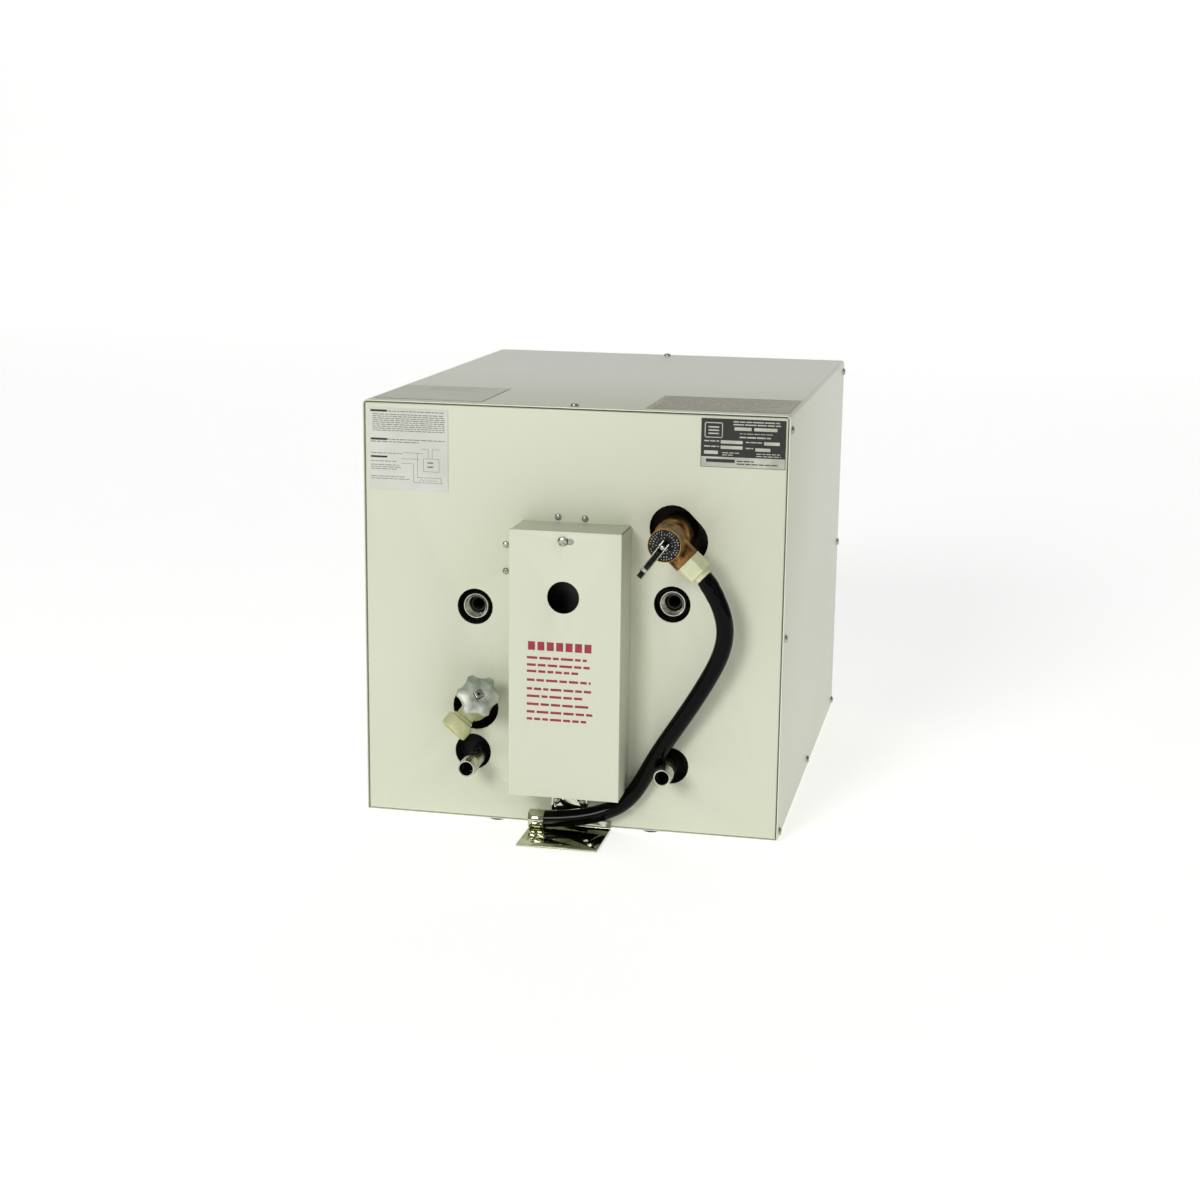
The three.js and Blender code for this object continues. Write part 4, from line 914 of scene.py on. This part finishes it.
chance = random.Random(7)
label_y = (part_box("data_label")[0].y - front_y) / MM
data = rows(chance, -198.5, -124.5, [(401.8, -124.5)], 0.9)
data += rows(chance, -196.5, -124.5, [(398.6 - 1.95 * i, -124.5) for i in range(9)], 0.8)
data += rows(chance, -198.5, -124.5, [(374.6, -124.5), (372.2, -150)], 0.9)
data += rows(
    chance, -198.5, -160,
    [
        (361.0, -165), (353.2, -172), (349.6, -170), (347.6, -168), (345.6, -171), (338.4, -163),
        (336.2, -160),
    ],
    0.7,
)
diagram = [
    (-166, -146, 361.5, 361.9), (-168, -150, 355.6, 356), (-168, -158, 351.2, 351.6),
    (-146, -130, 356.4, 356.8), (-146, -145.6, 344, 356.8), (-130.4, -130, 344, 356.8),
    (-146, -130, 344, 344.4), (-152, -151.6, 338, 362), (-156, -155.6, 333, 352),
    (-152, -128, 338, 338.4), (-128.4, -128, 333, 338.4), (-156, -126, 333, 333.4),
    (-142, -136, 348, 349.5), (-142, -136, 352, 353.5), (-141.2, -140.8, 356.8, 366),
    (-137.2, -136.8, 356.8, 366), (-148, -141, 365.6, 366), (-137, -129, 365.6, 366),
]
diagram += [(-150 + 2 * i, -149.2 + 2 * i, 334.6 + (i % 2), 335.6 + (i % 2)) for i in range(9)]
printed("data_label_print", data + diagram, label_y, INK, grey_ink)
headings = [(-198.5, -182, 400.6, 402.6), (-198.5, -182, 373.2, 375.2), (-198.5, -182, 356.2, 358)]
printed("data_label_headings", headings, label_y, HEAVY_INK, black_ink)

plate_low, plate_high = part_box("nameplate")
plate_y = (plate_low.y - front_y) / MM
plate_x0, plate_x1 = plate_low.x / MM, plate_high.x / MM
plate_z0, plate_z1 = (plate_low.z - CASE_LOW.z) / MM, (plate_high.z - CASE_LOW.z) / MM
printed(
    "nameplate_band", [(plate_x0 + 0.4, plate_x1 - 0.4, plate_z0 + 0.4, plate_z0 + 9.8)], plate_y,
    INK, bare_foil,
)
frame_x, frame_z = plate_x0 + 3.2, plate_z1 - 18
fields = [
    (plate_x0 + 18.5, plate_x0 + 39, 383.6, 386.6), (plate_x0 + 18.5, plate_x0 + 39, 378.6, 381.6),
    (plate_x0 + 59, plate_x0 + 73.5, 383.4, 386.4), (plate_x0 + 51, plate_x0 + 65, 377.4, 380.4),
    (plate_x0 + 3, plate_x0 + 16, 373.4, 376.6),
]
lines = rows(
    chance, plate_x0 + 30, plate_x1 - 5, [(404.8, plate_x1 - 6), (402.2, plate_x1 - 5)], 1.1,
    (4, 11),
)
lines += [
    (plate_x0 + 31, plate_x0 + 47, 396.2, 399.2), (plate_x0 + 49.5, plate_x0 + 71, 396.2, 399.2),
]
lines += rows(chance, plate_x0 + 36, plate_x1 - 12, [(393.6, plate_x1 - 12)], 0.6)
lines += rows(chance, plate_x0 + 36, plate_x1 - 14, [(390.6, plate_x1 - 14)], 1.3, (4, 9))
lines += rows(
    chance, plate_x0 + 3, plate_x0 + 17, [(386.2, plate_x0 + 17), (381.2, plate_x0 + 17)], 1.1,
    (4, 7),
)
lines += rows(
    chance, plate_x0 + 42, plate_x0 + 57, [(386, plate_x0 + 57), (380.4, plate_x0 + 49)], 1.0,
    (3, 6),
)
lines += rows(
    chance, plate_x0 + 20, plate_x1 - 4, [(375.4, plate_x0 + 36), (373.4, plate_x0 + 30)], 0.8,
    (3, 6),
)
lines += rows(
    chance, plate_x0 + 52, plate_x1 - 4, [(375.4, plate_x1 - 4), (373.2, plate_x1 - 3)], 0.8,
    (3, 6),
)
lines += [
    (frame_x, frame_x + 17, frame_z + 13.6, frame_z + 14.4),
    (frame_x, frame_x + 17, frame_z, frame_z + 0.8),
    (frame_x, frame_x + 0.8, frame_z, frame_z + 14.4),
    (frame_x + 16.2, frame_x + 17, frame_z, frame_z + 14.4),
    (frame_x + 3.5, frame_x + 13.5, frame_z + 9.4, frame_z + 10.6),
    (frame_x + 3.5, frame_x + 13.5, frame_z + 6.4, frame_z + 7.6),
    (frame_x + 3.5, frame_x + 13.5, frame_z + 3.4, frame_z + 4.6),
]
printed("nameplate_print", lines + fields, plate_y, 0.04, bare_foil)
band = [(plate_x0 + 5, plate_x0 + 32, plate_z0 + 4.6, plate_z0 + 7.8)]
band += rows(
    chance, plate_x0 + 34, plate_x0 + 72,
    [(plate_z0 + 6.8, plate_x0 + 50), (plate_z0 + 4.2, plate_x0 + 73)], 1.0, (4, 8),
)
printed("nameplate_band_print", band, plate_y - INK, INK, black_ink)
# The data label's darker film colour is painted shade.
dress(label_film_painted_shade, "data_label")
dress(black_plate, "nameplate")
dress(faint_film, "top_label")
dress(brown_film, "top_notice")

top_face = (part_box("top_label")[1].z - CASE_LOW.z) / MM
faint = rows(
    chance, -170, -100, [(112 - 7 * i, -120 - 6 * (i % 3)) for i in range(4)], 2.0, (8, 20), 2,
)
faint += [(-196, -96, 22, 22.6), (-196, -96, 119, 119.6)]
printed("top_label_print", faint, top_face, INK, faint_ink, upward=True)
brown = rows(
    chance, 74, 197, [(110 - 9 * i, 190 - 11 * (i % 3)) for i in range(11)], 3.2, (9, 26), 2.5,
)
printed("top_notice_print", brown, top_face, INK, brown_ink, upward=True)

cover_y = (COVER_LOW.y - front_y) / MM
heading = [(-30 + 9.1 * i, -23.2 + 9.1 * i, 186.4, 194.8) for i in range(7)]
tops = [
    (180.2, 27), (173.2, 32), (167.0, 20), (158.4, 31), (149.8, 31.5), (142.6, 23), (134.8, 29.5),
    (127.2, 33), (120.2, 27),
]
red = rows(chance, -31, 34, tops, 2.4, (5, 13), 1.9)
printed(
    "cover_print", heading + red, cover_y, HEAVY_INK, red_ink, "access_cover_body",
)

# ---- Floor and light
FLOOR_HALF = 9
WALL_HEIGHT = 8
COVE_RADIUS = 2.5
floor_bm = bmesh.new()
bmesh.ops.create_grid(floor_bm, x_segments=1, y_segments=1, size=FLOOR_HALF)
back = [e for e in floor_bm.edges if all(v.co.y > FLOOR_HALF - 1 for v in e.verts)]
raised = bmesh.ops.extrude_edge_only(floor_bm, edges=back)["geom"]
raised = [g for g in raised if isinstance(g, bmesh.types.BMVert)]
bmesh.ops.translate(floor_bm, vec=(0, 0, WALL_HEIGHT), verts=raised)
bmesh.ops.bevel(
    floor_bm, geom=[e for e in floor_bm.edges if not e.is_boundary], offset=COVE_RADIUS,
    offset_type="OFFSET",
    affect="EDGES", segments=12, profile=0.5, material=-1,
)
floor_mesh = bpy.data.meshes.new("floor")
floor_bm.to_mesh(floor_mesh)
floor_bm.free()
floor_mesh.shade_smooth()
floor = bpy.data.objects.new("floor", floor_mesh)
scene.collection.objects.link(floor)
# Seamless white studio paper, lit from behind as well.
paper = finish(
    "studio_paper", "#f6f6f5", "#f9f9f8", 900, (0.75, 0.85), 3, 0.01,
    **{"IOR": 1.4, "Emission Color": (1, 1, 1, 1), "Emission Strength": 0.53},
)
floor_mesh.materials.append(paper)
floor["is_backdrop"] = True


def light(name, where, toward, size, power):
    """A rectangular area light at one place, shining toward another."""
    data = bpy.data.lights.new(name, "AREA")
    data.shape = "RECTANGLE"
    data.size, data.size_y = size
    data.energy = power
    lamp = bpy.data.objects.new(name, data)
    scene.collection.objects.link(lamp)
    lamp.matrix_world = facing(Vector(where), Vector(where) - Vector(toward))


AIM = (0, 0, 0.2)
SKY_STRENGTH = 0.27
light("key", (-1.9, -6.8, 3.1), AIM, (2.2, 2.2), 214)
light("fill", (3.4, -2.6, 1.4), AIM, (1.8, 1.8), 4)

world = bpy.data.worlds.new("studio")
scene.world = world
world.use_nodes = True
sky = world.node_tree.nodes["Background"]
sky.inputs["Color"].default_value = (1, 1, 1, 1)
sky.inputs["Strength"].default_value = SKY_STRENGTH
scene.view_settings.view_transform = "Standard"
scene.view_settings.look = "None"

low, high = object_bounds()
